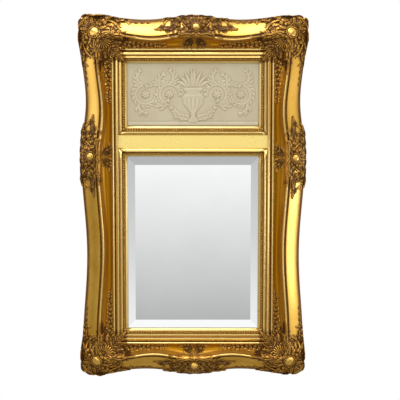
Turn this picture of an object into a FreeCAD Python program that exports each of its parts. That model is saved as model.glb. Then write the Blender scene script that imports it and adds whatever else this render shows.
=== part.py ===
"""Gilt wall mirror: a swept frame round a relief plaque above a bevelled glass.

Row frame: +X to the right as seen from the front, +Y towards the wall, +Z up.
The origin is on the wall plane, behind the middle of the frame.
Heights in a section are measured forwards from the flat back of the frame.
"""
import FreeCAD
import Part
import math
import os

# Frame: the rectangle inside the rails' lips, and the rails' own section
opening_width = 430.0
opening_height = 830.0
rail_width = 93.5
rail_reach = 108.5
side_sweep = 15.0
level_sweep = 10.5
side_lobe_z = 115.0
corner_flat = 0.12
corner_radius = 20.0
stations_per_lobe = 8
lip_base = 37.0
lip_width = 7.5
lip_rise = 4.0
quirk_width = 2.5
bead_width = 6.5
bead_rise = 5.0
hollow_floor = 27.0
hollow_inner_pull = 0.3
hollow_outer_pull = 0.12
ridge_offset = 41.0
ridge_sweep = 13.0
ridge_base = 57.0
ridge_width = 7.0
ridge_rise = 4.5
groove_width = 6.0
groove_floor = 51.0
panel_top = 53.0
nose_height = 24.0
nose_radius = 5.0
nose_underside = 16.0
back_undercut = 12.0

# Slips: the beaded mouldings round the plaque and round the glass
slip_width = 26.0
slip_back = 10.0
slip_fillet_width = 10.0
slip_fillet_base = 36.0
slip_fillet_rise = 2.5
slip_bead_width = 9.0
slip_bead_base = 32.0
slip_bead_rise = 3.0
slip_cove_width = 3.0
sight_base = 27.0
sight_rise = 2.0
rebate_depth = 9.0
glass_face = 22.0

# Cross rail between the two openings
cross_rail_height = 37.0
cross_rail_face = 35.0
plaque_opening_height = 181.0
dowel_radius = 4.0
dowel_length = 40.0
dowel_spacing = 20.0
dowel_fit = 0.05

# Panels held in the slips
glass_thickness = 5.0
bevel_width = 29.0
bevel_drop = 2.0
glass_seat_fit = 0.05
glass_cover_sides = 7.5
glass_cover_ends = 4.0
silver_thickness = 0.3
board_thickness = 4.0
board_recess = 0.4
board_clearance = 0.5
plaque_cover = 8.0
plaque_border = 5.0
ground_height = 6.0
ground_rise = 2.0
relief_rise = 4.0
urn_outline = [(15, 0), (15, 6), (6, 16), (8, 28), (28, 52), (31, 72), (20, 86), (27, 93), (27, 100)]
rosette_radius = 19.0
rosette_places = [68.0, 137.0]
pad_width = 12.0
pad_length = 40.0
setting_block_length = 45.0
setting_block_share = 0.5

# Cast ornaments
corner_crown = 62.0
corner_edge_height = 28.0
corner_overhang = 6.5
corner_offset = 46.0
corner_power = 8.0
corner_lobes = 20
corner_cabochon_offset = 23.0
lobe_bulge = 2.5
centre_crown = 53.0
centre_edge_height = 28.0
centre_overhang = 4.0
centre_half_length = 98.0
centre_end_height = 42.0
centre_power = 2.4
centre_lobes = 18
centre_shift = {"top": 9.0, "bottom": 4.0, "left": 8.0, "right": 3.0}
cabochon_radius = 14.0
cabochon_rise = 5.0
spray_half_length = 40.0
spray_thickness = 4.0
spray_bead_margin = 1.0
spray_ridge_margin = 4.0
spray_power = 2.0
spray_lobes = 9

# Hardware on the back
wall_gap = 6.0
cut_margin = 1.0
bumper_radius = 7.0
bumper_inset = 40.0
key_length = 44.0
key_end_width = 22.0
key_waist_width = 12.0
key_thickness = 6.0
key_fit = 0.05
button_pivot_inset = 8.5
button_share = 0.5
button_reach = 19.0
button_end_radius = 6.0
button_tip_radius = 4.0
button_thickness = 2.0
button_gap = 0.3
screw_radius = 1.75
screw_head_radius = 3.5
screw_crown_radius = 2.4
screw_head_height = 1.8
screw_grip = 14.0
screw_fit = 0.1
pilot_fit = 0.05
hanger_z = 300.0
hanger_inset = 42.0
plate_width = 16.0
plate_length = 62.0
plate_thickness = 1.2
plate_screw_spacing = 18.0
plate_screw_end = 9.0
ring_wire_radius = 1.9
ring_half_width = 11.0
ring_leg = 8.0
ring_corner_radius = 3.5
knuckle_width = 12.0
knuckle_fit = 0.1
knuckle_lift = 0.3

# Worked out from the values above
half_width = opening_width / 2
half_height = opening_height / 2
rebate_wall = slip_width - rebate_depth
bevel_edge = glass_face - glass_seat_fit - bevel_drop * max(glass_cover_sides, glass_cover_ends) / bevel_width
glass_front = bevel_edge + bevel_drop
glass_back = glass_front - glass_thickness
silver_back = glass_back - silver_thickness
board_front = slip_back + board_recess + board_thickness


def point(x, z, height):
    """A point of the row frame from its place in the front view and its height off the frame's back."""
    return FreeCAD.Vector(x, -(wall_gap + height), z)


def edge_through(poles):
    """A straight edge through two points, or a Bezier edge with the given poles."""
    if len(poles) == 2:
        return Part.LineSegment(poles[0], poles[1]).toShape()
    curve = Part.BezierCurve()
    curve.setPoles(poles)
    return curve.toShape()


def hump(start, end, base, rise):
    """Poles of a half-round that stands on a flat from start to end."""
    pull = base + rise * 4 / 3
    return [(start, base), (start, pull), (end, pull), (end, base)]


def extrude_outline(face, low, high):
    """A prism between two heights, from a face drawn at height zero."""
    prism = face.extrude(FreeCAD.Vector(0, low - high, 0))
    prism.translate(FreeCAD.Vector(0, -low, 0))
    return prism


def box(x_low, x_high, z_low, z_high, low, high):
    """A block given by its place in the front view and its two heights."""
    return Part.makeBox(x_high - x_low, high - low, z_high - z_low, point(x_low, z_low, high))


def disc(x, z, radius, low, high):
    """A round pin square to the wall, between two heights."""
    return Part.makeCylinder(radius, high - low, point(x, z, low), FreeCAD.Vector(0, -1, 0))


# Rails
def lobe_middle(side):
    """Where the middle lobe of a rail lies, as a share of the way from its middle to its mitre."""
    if side in ("top", "bottom"):
        return 0.0
    return side_lobe_z / (half_height + rail_width)


def lobes(side, t):
    """How far the outline swings out: 1 at the corners and the middle ornaments, 0 at the waists."""
    end = 1 - corner_flat
    if abs(t) >= end:
        return 1.0
    middle = lobe_middle(side)
    span = end - middle if t > middle else end + middle
    return 0.5 + 0.5 * math.cos(2 * math.pi * (t - middle) / span)


def corner_drop(side, t):
    """How much the outline falls back near a mitre, where the frame's corner is round."""
    half = (half_width if side in ("top", "bottom") else half_height) + rail_reach
    start = 1 - corner_radius / half
    share = max(0.0, (abs(t) - start) / (1 - start))
    return corner_radius - math.sqrt(corner_radius ** 2 - (share * corner_radius) ** 2 / 2)


def rail_profile(side, t):
    """The rail's section at t, as poles in distance out from the lip and height off the back."""
    swing = lobes(side, t)
    ridge = ridge_offset + ridge_sweep * swing
    ridge_end = ridge + ridge_width
    sweep = level_sweep if side in ("top", "bottom") else side_sweep
    edge = rail_reach - sweep * (1 - swing) - corner_drop(side, t)
    bead = lip_width + quirk_width
    bead_end = bead + bead_width
    hollow = ridge - bead_end
    panel = ridge_end + groove_width
    groove = ridge_end + groove_width / 2
    return [
        [(0, 0), (0, lip_base)],
        hump(0, lip_width, lip_base, lip_rise),
        [(lip_width, lip_base), (bead, lip_base)],
        hump(bead, bead_end, lip_base, bead_rise),
        [(bead_end, lip_base), (bead_end + hollow_inner_pull * hollow, hollow_floor),
         (ridge - hollow_outer_pull * hollow, hollow_floor), (ridge, ridge_base)],
        hump(ridge, ridge_end, ridge_base, ridge_rise),
        [(ridge_end, ridge_base), (groove, groove_floor)],
        [(groove, groove_floor), (panel, panel_top)],
        [(panel, panel_top), (edge - nose_radius, nose_height)],
        [(edge - nose_radius, nose_height), (edge, nose_height - nose_radius),
         (edge, nose_underside + nose_radius / 2), (edge, nose_underside)],
        [(edge, nose_underside), (edge - back_undercut, 0)],
        [(edge - back_undercut, 0), (0, 0)],
    ]


def rail_point(side, t, out, height):
    """A point of a rail: t runs from mitre to mitre, so t of -1 and 1 lie on the mitre planes."""
    if side in ("top", "bottom"):
        sign = 1 if side == "top" else -1
        return point(t * (half_width + out), sign * (half_height + out), height)
    sign = 1 if side == "right" else -1
    return point(sign * (half_width + out), t * (half_height + out), height)


def rail_stations(side):
    """Places along a rail where its section is drawn: evenly over each lobe, and three at each corner."""
    middle = lobe_middle(side)
    end = 1 - corner_flat
    count = stations_per_lobe
    steps = [middle - (end + middle) * k / count for k in range(count, 0, -1)]
    steps += [middle + (end - middle) * k / count for k in range(0, count + 1)]
    half = half_width if side in ("top", "bottom") else half_height
    rounding = corner_radius / (half + rail_reach)
    ends = [1 - rounding, 1 - rounding / 2, 1]
    return [-t for t in reversed(ends)] + steps + ends


def rail(side):
    """One rail of the frame, mitred at both ends."""
    sections = []
    for t in rail_stations(side):
        profile = rail_profile(side, t)
        edges = [edge_through([rail_point(side, t, d, h) for d, h in poles]) for poles in profile]
        sections.append(Part.Wire(edges))
    return Part.makeLoft(sections, True, False)


def mitre_key(sign_x, sign_z, fit):
    """A butterfly key let into the back across one mitre, grown all round by fit."""
    middle = rail_width / 2
    end = key_length / 2
    outline = [(-end, key_end_width / 2), (0, key_waist_width / 2), (end, key_end_width / 2)]
    outline += [(a, -b) for a, b in reversed(outline)]
    grown = [(a + math.copysign(fit, a) if a else 0, b + math.copysign(fit, b)) for a, b in outline]
    slope = math.sqrt(0.5)
    corners = []
    for along, across in grown:
        x = half_width + middle + slope * (along + across)
        z = half_height + middle + slope * (across - along)
        corners.append(point(sign_x * x, sign_z * z, 0))
    face = Part.Face(Part.makePolygon(corners + corners[:1]))
    return extrude_outline(face, 0, key_thickness + fit)


corners = {
    "top_left": (-1, 1),
    "top_right": (1, 1),
    "bottom_left": (-1, -1),
    "bottom_right": (1, -1),
}


# Slips, cross rail and the panels that they hold
class Opening:
    """A rectangle in the front view that a slip frame fills."""

    def __init__(self, half_x, z_low, z_high):
        self.half_x = half_x
        self.half_z = (z_high - z_low) / 2
        self.middle = (z_high + z_low) / 2

    def place(self, side, t, inwards, height):
        """A point inwards from one side, with t running from mitre to mitre."""
        x = self.half_x - inwards
        z = self.half_z - inwards
        if side in ("top", "bottom"):
            sign = 1 if side == "top" else -1
            return point(t * x, self.middle + sign * z, height)
        sign = 1 if side == "right" else -1
        return point(sign * x, self.middle + t * z, height)

    def panel(self, inset_x, inset_z, low, high):
        """A flat panel inside the opening."""
        x = self.half_x - inset_x
        z = self.half_z - inset_z
        return box(-x, x, self.middle - z, self.middle + z, low, high)


cross_rail_top = half_height - 2 * slip_width - plaque_opening_height
plaque_opening = Opening(half_width, cross_rail_top, half_height)
mirror_opening = Opening(half_width, -half_height, cross_rail_top - cross_rail_height)


def slip_profile():
    """The slip's section, as poles in distance inwards and height off the frame's back."""
    bead = slip_fillet_width
    bead_end = bead + slip_bead_width
    cove_end = bead_end + slip_cove_width
    return [
        [(0, slip_back), (0, slip_fillet_base)],
        hump(0, slip_fillet_width, slip_fillet_base, slip_fillet_rise),
        [(bead, slip_fillet_base), (bead, slip_bead_base)],
        hump(bead, bead_end, slip_bead_base, slip_bead_rise),
        [(bead_end, slip_bead_base), (cove_end, sight_base)],
        hump(cove_end, slip_width, sight_base, sight_rise),
        [(slip_width, sight_base), (slip_width, glass_face)],
        [(slip_width, glass_face), (rebate_wall, glass_face)],
        [(rebate_wall, glass_face), (rebate_wall, slip_back)],
        [(rebate_wall, slip_back), (0, slip_back)],
    ]


def slip(opening, side):
    """One length of slip moulding, mitred at both ends."""
    sections = []
    for t in (-1, 1):
        edges = [edge_through([opening.place(side, t, e, h) for e, h in poles]) for poles in slip_profile()]
        sections.append(Part.Wire(edges))
    return Part.makeLoft(sections, True, True)


def cross_rail():
    """The flat rail between the plaque and the glass."""
    low = cross_rail_top - cross_rail_height
    return box(-half_width, half_width, low, cross_rail_top, slip_back, cross_rail_face)


def dowels(fit):
    """Four dowels, two at each end of the cross rail, grown by fit."""
    height = (slip_back + hollow_floor) / 2
    middle = cross_rail_top - cross_rail_height / 2
    pins = []
    for sign in (-1, 1):
        for step in (-0.5, 0.5):
            start = point(sign * half_width - dowel_length / 2 - fit, middle + step * dowel_spacing, height)
            length = dowel_length + 2 * fit
            pins.append(Part.makeCylinder(dowel_radius + fit, length, start, FreeCAD.Vector(1, 0, 0)))
    return pins


def mirror_glass():
    """The glass, with a wide bevel ground round its front edge."""
    outline_x = mirror_opening.half_x - slip_width + glass_cover_sides
    outline_z = mirror_opening.half_z - slip_width + glass_cover_ends

    def rectangle(inset, height):
        x = outline_x - inset
        z = outline_z - inset
        corners_xz = [(-x, -z), (x, -z), (x, z), (-x, z), (-x, -z)]
        return Part.makePolygon([point(a, mirror_opening.middle + b, height) for a, b in corners_xz])

    slab = Part.makeLoft([rectangle(0, glass_back), rectangle(0, bevel_edge)], True, True)
    crown = Part.makeLoft([rectangle(0, bevel_edge), rectangle(bevel_width, glass_front)], True, True)
    return slab.fuse(crown).removeSplitter()


def silvering():
    """The silver and its paint on the back of the glass."""
    inset_x = slip_width - glass_cover_sides
    inset_z = slip_width - glass_cover_ends
    return mirror_opening.panel(inset_x, inset_z, silver_back, glass_back)


def relief_plaque():
    """The cast plaque: a slab with a raised ground line, an urn in the middle and two rosettes each side."""
    inset = slip_width - plaque_cover
    slab = plaque_opening.panel(inset, inset, board_front, glass_face)
    half_x = half_width - slip_width - plaque_border
    low = plaque_opening.middle - plaque_opening_height / 2 + plaque_border
    foot = low + ground_height
    raised = [box(-half_x, half_x, low, foot, glass_face, glass_face + ground_rise)]
    outline = [point(a, foot + b, 0) for a, b in urn_outline]
    outline += [point(-a, foot + b, 0) for a, b in reversed(urn_outline)]
    urn_face = Part.Face(Part.makePolygon(outline + outline[:1]))
    raised.append(extrude_outline(urn_face, glass_face, glass_face + relief_rise))
    crown = glass_face + relief_rise
    for x in rosette_places + [-x for x in rosette_places]:
        raised.append(disc(x, plaque_opening.middle, rosette_radius, glass_face, crown))
    return slab.fuse(raised).removeSplitter()


def back_board(opening):
    """The board that closes an opening from behind."""
    inset = rebate_wall + board_clearance
    return opening.panel(inset, inset, slip_back + board_recess, board_front)


def glass_pads():
    """Felt strips between the back of the glass and its board."""
    x = mirror_opening.half_x - slip_width - pad_width
    z = mirror_opening.half_z - slip_width - pad_length
    pads = []
    for share_x in (-1, 1):
        for share_z in (-1, 0, 1):
            px = share_x * x
            pz = mirror_opening.middle + share_z * z
            pads.append(box(px - pad_width / 2, px + pad_width / 2, pz - pad_length / 2, pz + pad_length / 2,
                            board_front, silver_back))
    return pads


def setting_blocks():
    """Two blocks that carry the lower edge of the glass in its rebate."""
    wall = mirror_opening.middle - mirror_opening.half_z + rebate_wall
    edge = mirror_opening.middle - mirror_opening.half_z + slip_width - glass_cover_ends
    x = mirror_opening.half_x * setting_block_share
    return [box(sign * x - setting_block_length / 2, sign * x + setting_block_length / 2, wall, edge,
                glass_back, bevel_edge) for sign in (-1, 1)]


# Cast ornaments
def lobed_face(x, z, outline_points, bulge):
    """A face in the front view with a rounded lobe between each pair of neighbouring points."""
    edges = []
    count = len(outline_points)
    for k in range(count):
        a0, b0 = outline_points[k]
        a1, b1 = outline_points[(k + 1) % count]
        run = math.hypot(a1 - a0, b1 - b0)
        out_a = (b1 - b0) / run * bulge
        out_b = -(a1 - a0) / run * bulge
        middle = point(x + (a0 + a1) / 2 + out_a, z + (b0 + b1) / 2 + out_b, 0)
        edges.append(Part.Arc(point(x + a0, z + b0, 0), middle, point(x + a1, z + b1, 0)).toShape())
    return Part.Face(Part.Wire(edges))


def rounded_outline(half_a, half_b, power, count):
    """Points spaced round a superellipse, counter-clockwise in the front view."""
    outline = []
    for k in range(count):
        angle = 2 * math.pi * (k + 0.5) / count
        c = math.cos(angle)
        s = math.sin(angle)
        a = math.copysign(abs(c) ** (2 / power), c) * half_a
        b = math.copysign(abs(s) ** (2 / power), s) * half_b
        outline.append((a, b))
    return outline


def arched_bar(x, z, along_x, crown, fall, reach, half_length):
    """A bar with a round top: crown is its height on the middle line, and it falls by fall at reach."""
    radius = (fall ** 2 + reach ** 2) / (2 * fall)
    centre = point(x, z, crown - radius)
    direction = FreeCAD.Vector(1, 0, 0) if along_x else FreeCAD.Vector(0, 0, 1)
    return Part.makeCylinder(radius, 2 * half_length, centre - direction * half_length, direction)


def corner_ornament(sign_x, sign_z, carriers):
    """A cast corner: a cushion-shaped boss with a lobed edge and a cabochon, cut to sit on the frame."""
    reach = rail_reach + corner_overhang - corner_offset
    x = sign_x * (half_width + corner_offset)
    z = sign_z * (half_height + corner_offset)
    fall = corner_crown - corner_edge_height
    outline = rounded_outline(reach - lobe_bulge, reach - lobe_bulge, corner_power, corner_lobes)
    size = 2 * reach
    boss = arched_bar(x, z, True, corner_crown, fall, reach, size)
    boss = boss.common(arched_bar(x, z, False, corner_crown, fall, reach, size))
    edge = lobed_face(x, z, outline, lobe_bulge)
    boss = boss.common(extrude_outline(edge, nose_underside, 2 * corner_crown))
    offset = corner_cabochon_offset
    radius = (fall ** 2 + reach ** 2) / (2 * fall)
    seat = corner_crown - radius + math.sqrt(radius ** 2 - offset ** 2)
    centre = point(x + sign_x * offset, z + sign_z * offset, seat + cabochon_rise - cabochon_radius)
    boss = boss.fuse(Part.makeSphere(cabochon_radius, centre))
    return largest_solid(boss.cut(Part.makeCompound(carriers)))


def centre_ornament(side, carriers):
    """A cast cartouche on the middle of one rail, with a lobed edge and a round cabochon."""
    lobe = rail_reach + centre_overhang
    inner = ridge_offset + ridge_sweep
    middle = (inner + lobe) / 2
    reach = lobe - middle
    t = 0 if side in ("top", "bottom") else side_lobe_z / (half_height + middle)
    along_x = side in ("top", "bottom")
    direction = FreeCAD.Vector(1, 0, 0) if along_x else FreeCAD.Vector(0, 0, 1)
    seat = rail_point(side, t, middle, 0) + direction * centre_shift[side]
    half_a, half_b = (centre_half_length, reach) if along_x else (reach, centre_half_length)
    outline = rounded_outline(half_a - lobe_bulge, half_b - lobe_bulge, centre_power, centre_lobes)
    size = 2 * centre_half_length
    mound = arched_bar(seat.x, seat.z, along_x, centre_crown, centre_crown - centre_edge_height, reach, size)
    mound = mound.common(arched_bar(seat.x, seat.z, not along_x, centre_crown,
                                    centre_crown - centre_end_height, centre_half_length, size))
    edge = lobed_face(seat.x, seat.z, outline, lobe_bulge)
    mound = mound.common(extrude_outline(edge, nose_underside, 2 * centre_crown))
    top = point(seat.x, seat.z, centre_crown + cabochon_rise - cabochon_radius)
    mound = mound.fuse(Part.makeSphere(cabochon_radius, top))
    return largest_solid(mound.cut(Part.makeCompound(carriers)))


def hollow_spray(side, carrier):
    """A cast leaf spray that lies in the hollow of one rail, below the cartouche."""
    inner = lip_width + quirk_width + bead_width + spray_bead_margin
    outer = ridge_offset + ridge_sweep - spray_ridge_margin
    middle = (inner + outer) / 2
    t = 0 if side in ("top", "bottom") else side_lobe_z / (half_height + middle)
    seat = rail_point(side, t, middle, 0)
    along_x = side in ("top", "bottom")
    reach = (outer - inner) / 2
    half_a, half_b = (spray_half_length, reach) if along_x else (reach, spray_half_length)
    outline = rounded_outline(half_a - lobe_bulge, half_b - lobe_bulge, spray_power, spray_lobes)
    prism = extrude_outline(lobed_face(seat.x, seat.z, outline, lobe_bulge), hollow_floor / 2, 2 * ridge_base)
    raised = carrier.copy()
    raised.translate(FreeCAD.Vector(0, -spray_thickness, 0))
    return largest_solid(prism.common(raised).cut(carrier))


def largest_solid(shape):
    """The main solid of a cut shape, without crumbs."""
    return max(shape.Solids, key=lambda solid: solid.Volume)


# Hardware on the back
def button_places():
    """Pivots of the turn buttons, each with the direction from the pivot towards the board."""
    places = {}
    x = plaque_opening.half_x * button_share
    z_top = plaque_opening.middle + plaque_opening.half_z - button_pivot_inset
    z_low = plaque_opening.middle - plaque_opening.half_z + button_pivot_inset
    for name, sign in (("left", -1), ("right", 1)):
        places[f"plaque_button_top_{name}"] = (sign * x, z_top, 0, -1)
        places[f"plaque_button_bottom_{name}"] = (sign * x, z_low, 0, 1)
    side_x = mirror_opening.half_x - button_pivot_inset
    end_z = mirror_opening.half_z - button_pivot_inset
    for name, share in (("upper", button_share), ("lower", -button_share)):
        z = mirror_opening.middle + share * mirror_opening.half_z
        places[f"mirror_button_left_{name}"] = (-side_x, z, 1, 0)
        places[f"mirror_button_right_{name}"] = (side_x, z, -1, 0)
    places["mirror_button_top"] = (0, mirror_opening.middle + end_z, 0, -1)
    places["mirror_button_bottom"] = (0, mirror_opening.middle - end_z, 0, 1)
    return places


button_top = slip_back - button_gap
button_under = button_top - button_thickness


def turn_button(x, z, towards_x, towards_z):
    """A flat button that turns on its screw and holds the board with its longer end."""
    tip = button_reach - button_tip_radius
    round_end = disc(x, z, button_end_radius, button_under, button_top)
    round_tip = disc(x + towards_x * tip, z + towards_z * tip, button_tip_radius, button_under, button_top)
    across_x = abs(towards_z)
    across_z = abs(towards_x)
    wide = button_end_radius
    narrow = button_tip_radius
    ring = []
    for a, b in ((0, wide), (tip, narrow), (tip, -narrow), (0, -wide)):
        ring.append(point(x + towards_x * a + across_x * b, z + towards_z * a + across_z * b, 0))
    web = extrude_outline(Part.Face(Part.makePolygon(ring + ring[:1])), button_under, button_top)
    hole = disc(x, z, screw_radius + screw_fit, button_under - cut_margin, button_top + cut_margin)
    return round_end.fuse([round_tip, web]).removeSplitter().cut(hole)


def screw(x, z, head_seat, grip):
    """A round-head screw that stands on head_seat and goes forwards by grip."""
    shank = disc(x, z, screw_radius, head_seat, head_seat + grip)
    seat = point(x, z, head_seat)
    backwards = FreeCAD.Vector(0, 1, 0)
    head = Part.makeCone(screw_head_radius, screw_crown_radius, screw_head_height, seat, backwards)
    return shank.fuse(head).removeSplitter()


def pilot(x, z, seat, grip):
    """The hole that a screw needs in the wood."""
    return disc(x, z, screw_radius + pilot_fit, seat, seat + grip + pilot_fit)


ring_bar_height = -(knuckle_lift + plate_thickness + ring_wire_radius + knuckle_fit)
hanger_x = half_width + hanger_inset


def hanger_screw_places(sign):
    """Centres of the two screws that hold one hanger plate."""
    last = hanger_z - plate_length + plate_screw_end
    return [(sign * hanger_x, last + k * plate_screw_spacing) for k in range(2)]


def hanger_plate(sign):
    """A strap screwed to the back of a side rail, with a rolled eye for the ring at its upper end."""
    x = sign * hanger_x
    low = hanger_z - plate_length
    strap = box(x - plate_width / 2, x + plate_width / 2, low, hanger_z, -plate_thickness, 0)
    outer = ring_wire_radius + knuckle_fit + plate_thickness
    start = point(x - knuckle_width / 2, hanger_z, ring_bar_height)
    along = FreeCAD.Vector(1, 0, 0)
    eye = Part.makeCylinder(outer, knuckle_width, start, along)
    bore = Part.makeCylinder(ring_wire_radius + knuckle_fit, knuckle_width, start, along)
    plate = strap.fuse(eye).removeSplitter().cut(bore)
    for hole_x, hole_z in hanger_screw_places(sign):
        hole = disc(hole_x, hole_z, screw_radius + screw_fit, -plate_thickness - cut_margin, cut_margin)
        plate = plate.cut(hole)
    return plate


def hanger_ring(sign):
    """A wire ring with a straight bar, hanging down from its bar."""
    x = sign * hanger_x
    low = hanger_z - ring_corner_radius - ring_leg
    half = ring_half_width
    corner = ring_corner_radius
    slope = math.sqrt(0.5)

    def at(a, z):
        return point(x + a, z, ring_bar_height)

    def turn(a, z, sign_a):
        middle = at(a + sign_a * corner * slope, z + corner * slope)
        ends = [at(a, z + corner), at(a + sign_a * corner, z)]
        return Part.Arc(ends[0], middle, ends[1]).toShape()

    inner = half - corner
    path = Part.Wire([
        Part.LineSegment(at(-inner, hanger_z), at(inner, hanger_z)).toShape(),
        turn(inner, hanger_z - corner, 1),
        Part.LineSegment(at(half, hanger_z - corner), at(half, low)).toShape(),
        Part.Arc(at(half, low), at(0, low - half), at(-half, low)).toShape(),
        Part.LineSegment(at(-half, low), at(-half, hanger_z - corner)).toShape(),
        turn(-inner, hanger_z - corner, -1),
    ])
    section = Part.Wire(Part.makeCircle(ring_wire_radius, at(-inner, hanger_z), FreeCAD.Vector(1, 0, 0)))
    return path.makePipeShell([section], True, False)


def bumpers():
    """Soft discs near the corners of the back, which stand against the wall."""
    x = half_width + bumper_inset
    z = half_height + bumper_inset
    return [disc(sx * x, sz * z, bumper_radius, -wall_gap, 0) for sx, sz in corners.values()]


def build():
    """Every piece of the mirror by its node name."""
    parts = {}
    rails = {side: rail(side) for side in ("top", "bottom", "left", "right")}
    slips = {}
    for name, opening in (("plaque", plaque_opening), ("mirror", mirror_opening)):
        for side in ("top", "bottom", "left", "right"):
            slips[f"{name}_slip_{side}"] = slip(opening, side)

    for name, (sign_x, sign_z) in corners.items():
        end, side = name.split("_")
        near_slip = "plaque" if end == "top" else "mirror"
        carriers = [rails[end], rails[side]]
        carriers += [slips[f"{near_slip}_slip_{end}"], slips[f"{near_slip}_slip_{side}"]]
        parts[f"{name}_corner_ornament"] = corner_ornament(sign_x, sign_z, carriers)
    for side in rails:
        parts[f"{side}_centre_ornament"] = centre_ornament(side, [rails[side]])
        parts[f"{side}_hollow_spray"] = hollow_spray(side, rails[side])

    pockets = Part.makeCompound([mitre_key(sx, sz, key_fit) for sx, sz in corners.values()])
    hanger_screws = [place for sign in (-1, 1) for place in hanger_screw_places(sign)]
    hanger_grip = screw_grip + plate_thickness
    dowel_holes = dowels(dowel_fit)
    rail_holes = Part.makeCompound(dowel_holes + [pilot(x, z, 0, screw_grip) for x, z in hanger_screws])
    for side in rails:
        parts[f"{side}_rail"] = rails[side].cut(pockets)
    for side in ("left", "right"):
        parts[f"{side}_rail"] = parts[f"{side}_rail"].cut(rail_holes)
    parts["mitre_keys"] = Part.makeCompound([mitre_key(sx, sz, 0) for sx, sz in corners.values()])
    parts["cross_rail"] = cross_rail().cut(Part.makeCompound(dowel_holes))
    parts["cross_rail_dowels"] = Part.makeCompound(dowels(0))

    places = button_places()
    for name, (x, z, towards_x, towards_z) in places.items():
        parts[name] = turn_button(x, z, towards_x, towards_z)
    button_seat = button_under - button_gap
    button_grip = screw_grip + slip_back - button_seat
    parts["turn_button_screws"] = Part.makeCompound(
        [screw(x, z, button_seat, button_grip) for x, z, _, _ in places.values()])
    slip_holes = Part.makeCompound([pilot(x, z, slip_back, screw_grip) for x, z, _, _ in places.values()])
    for name, shape in slips.items():
        parts[name] = shape.cut(slip_holes)

    parts["relief_plaque"] = relief_plaque()
    parts["mirror_glass"] = mirror_glass()
    parts["mirror_silvering"] = silvering()
    parts["plaque_back_board"] = back_board(plaque_opening)
    parts["mirror_back_board"] = back_board(mirror_opening)
    parts["glass_pads"] = Part.makeCompound(glass_pads())
    parts["glass_setting_blocks"] = Part.makeCompound(setting_blocks())

    for name, sign in (("left", -1), ("right", 1)):
        parts[f"{name}_hanger_plate"] = hanger_plate(sign)
        parts[f"{name}_hanger_ring"] = hanger_ring(sign)
    parts["hanger_screws"] = Part.makeCompound(
        [screw(x, z, -plate_thickness, hanger_grip) for x, z in hanger_screws])
    parts["wall_bumpers"] = Part.makeCompound(bumpers())
    return parts


os.makedirs("parts", exist_ok=True)
for node, shape in build().items():
    solids = shape.Solids
    volume = sum(solid.Volume for solid in solids)
    print(f"{node}: {len(solids)} solid(s), {volume / 1000:.1f} cm3, valid {shape.isValid()}")
    shape.exportStep(f"parts/{node}.step")
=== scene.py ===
import bpy
import math
import numpy as np
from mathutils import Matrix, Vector


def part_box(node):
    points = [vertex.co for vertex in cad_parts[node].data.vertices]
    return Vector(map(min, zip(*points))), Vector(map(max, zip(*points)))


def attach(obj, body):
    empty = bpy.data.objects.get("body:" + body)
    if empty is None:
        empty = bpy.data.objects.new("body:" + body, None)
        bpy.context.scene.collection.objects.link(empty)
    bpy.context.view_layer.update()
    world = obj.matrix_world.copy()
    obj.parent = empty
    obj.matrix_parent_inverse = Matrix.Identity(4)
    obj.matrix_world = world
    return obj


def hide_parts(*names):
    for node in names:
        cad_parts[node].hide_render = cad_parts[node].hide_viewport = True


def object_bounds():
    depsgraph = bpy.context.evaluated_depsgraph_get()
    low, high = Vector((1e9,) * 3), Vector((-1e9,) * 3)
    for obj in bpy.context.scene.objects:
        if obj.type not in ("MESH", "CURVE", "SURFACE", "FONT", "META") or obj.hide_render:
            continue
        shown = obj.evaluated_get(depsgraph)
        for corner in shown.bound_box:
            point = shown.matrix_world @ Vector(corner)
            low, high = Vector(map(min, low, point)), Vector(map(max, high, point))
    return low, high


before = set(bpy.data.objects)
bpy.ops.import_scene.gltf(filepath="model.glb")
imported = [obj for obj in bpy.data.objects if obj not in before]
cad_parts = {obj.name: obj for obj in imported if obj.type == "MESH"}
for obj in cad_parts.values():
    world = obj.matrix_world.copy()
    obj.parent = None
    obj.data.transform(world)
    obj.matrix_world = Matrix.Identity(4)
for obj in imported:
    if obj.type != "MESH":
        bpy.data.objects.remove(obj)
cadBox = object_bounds()
mm = 0.001  # the shapes are worked out in millimetres
scene = bpy.context.scene
print("frame:", len(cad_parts), "nodes")


# shader maths: a socket that adds its own nodes
class Wire:
    def __init__(self, tree, socket=None):
        self.tree = tree
        self.socket = socket

    def node(self, kind, settings=None, sockets=None, out=0):
        made = self.tree.nodes.new(kind)
        for key, value in (settings or {}).items():
            if key == "stops":
                fillRamp(made.color_ramp, value)
            else:
                setattr(made, key, value)
        for key, value in (sockets or {}).items():
            if isinstance(value, Wire):
                self.tree.links.new(value.socket, made.inputs[key])
            else:
                made.inputs[key].default_value = value
        return Wire(self.tree, made.outputs[out])

    def maths(self, operation, first, second, clamp=False):
        settings = {"operation": operation, "use_clamp": clamp}
        return self.node("ShaderNodeMath", settings, {0: first, 1: second})

    def __add__(self, other):
        return self.maths("ADD", self, other)

    def __sub__(self, other):
        return self.maths("SUBTRACT", self, other)

    def __rsub__(self, other):
        return self.maths("SUBTRACT", other, self)

    def __mul__(self, other):
        return self.maths("MULTIPLY", self, other)

    __radd__, __rmul__ = __add__, __mul__  # sums and products are the same either way round

    def limited(self):  # kept between 0 and 1
        return self.maths("ADD", self, 0.0, True)

    def step(self, low, high):  # 0 below low, 1 above high, smooth between
        settings = {"interpolation_type": "SMOOTHSTEP"}
        return self.node("ShaderNodeMapRange", settings, {0: self, 1: low, 2: high})


def fillRamp(ramp, stops):
    while len(ramp.elements) < len(stops):
        ramp.elements.new(1.0)
    for element, (place, colour) in zip(ramp.elements, stops):
        element.position = place
        element.color = colour


def mixColour(wire, share, first, second):
    return wire.node("ShaderNodeMix", {"data_type": "RGBA"}, {0: share, 6: first, 7: second}, 2)


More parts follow.
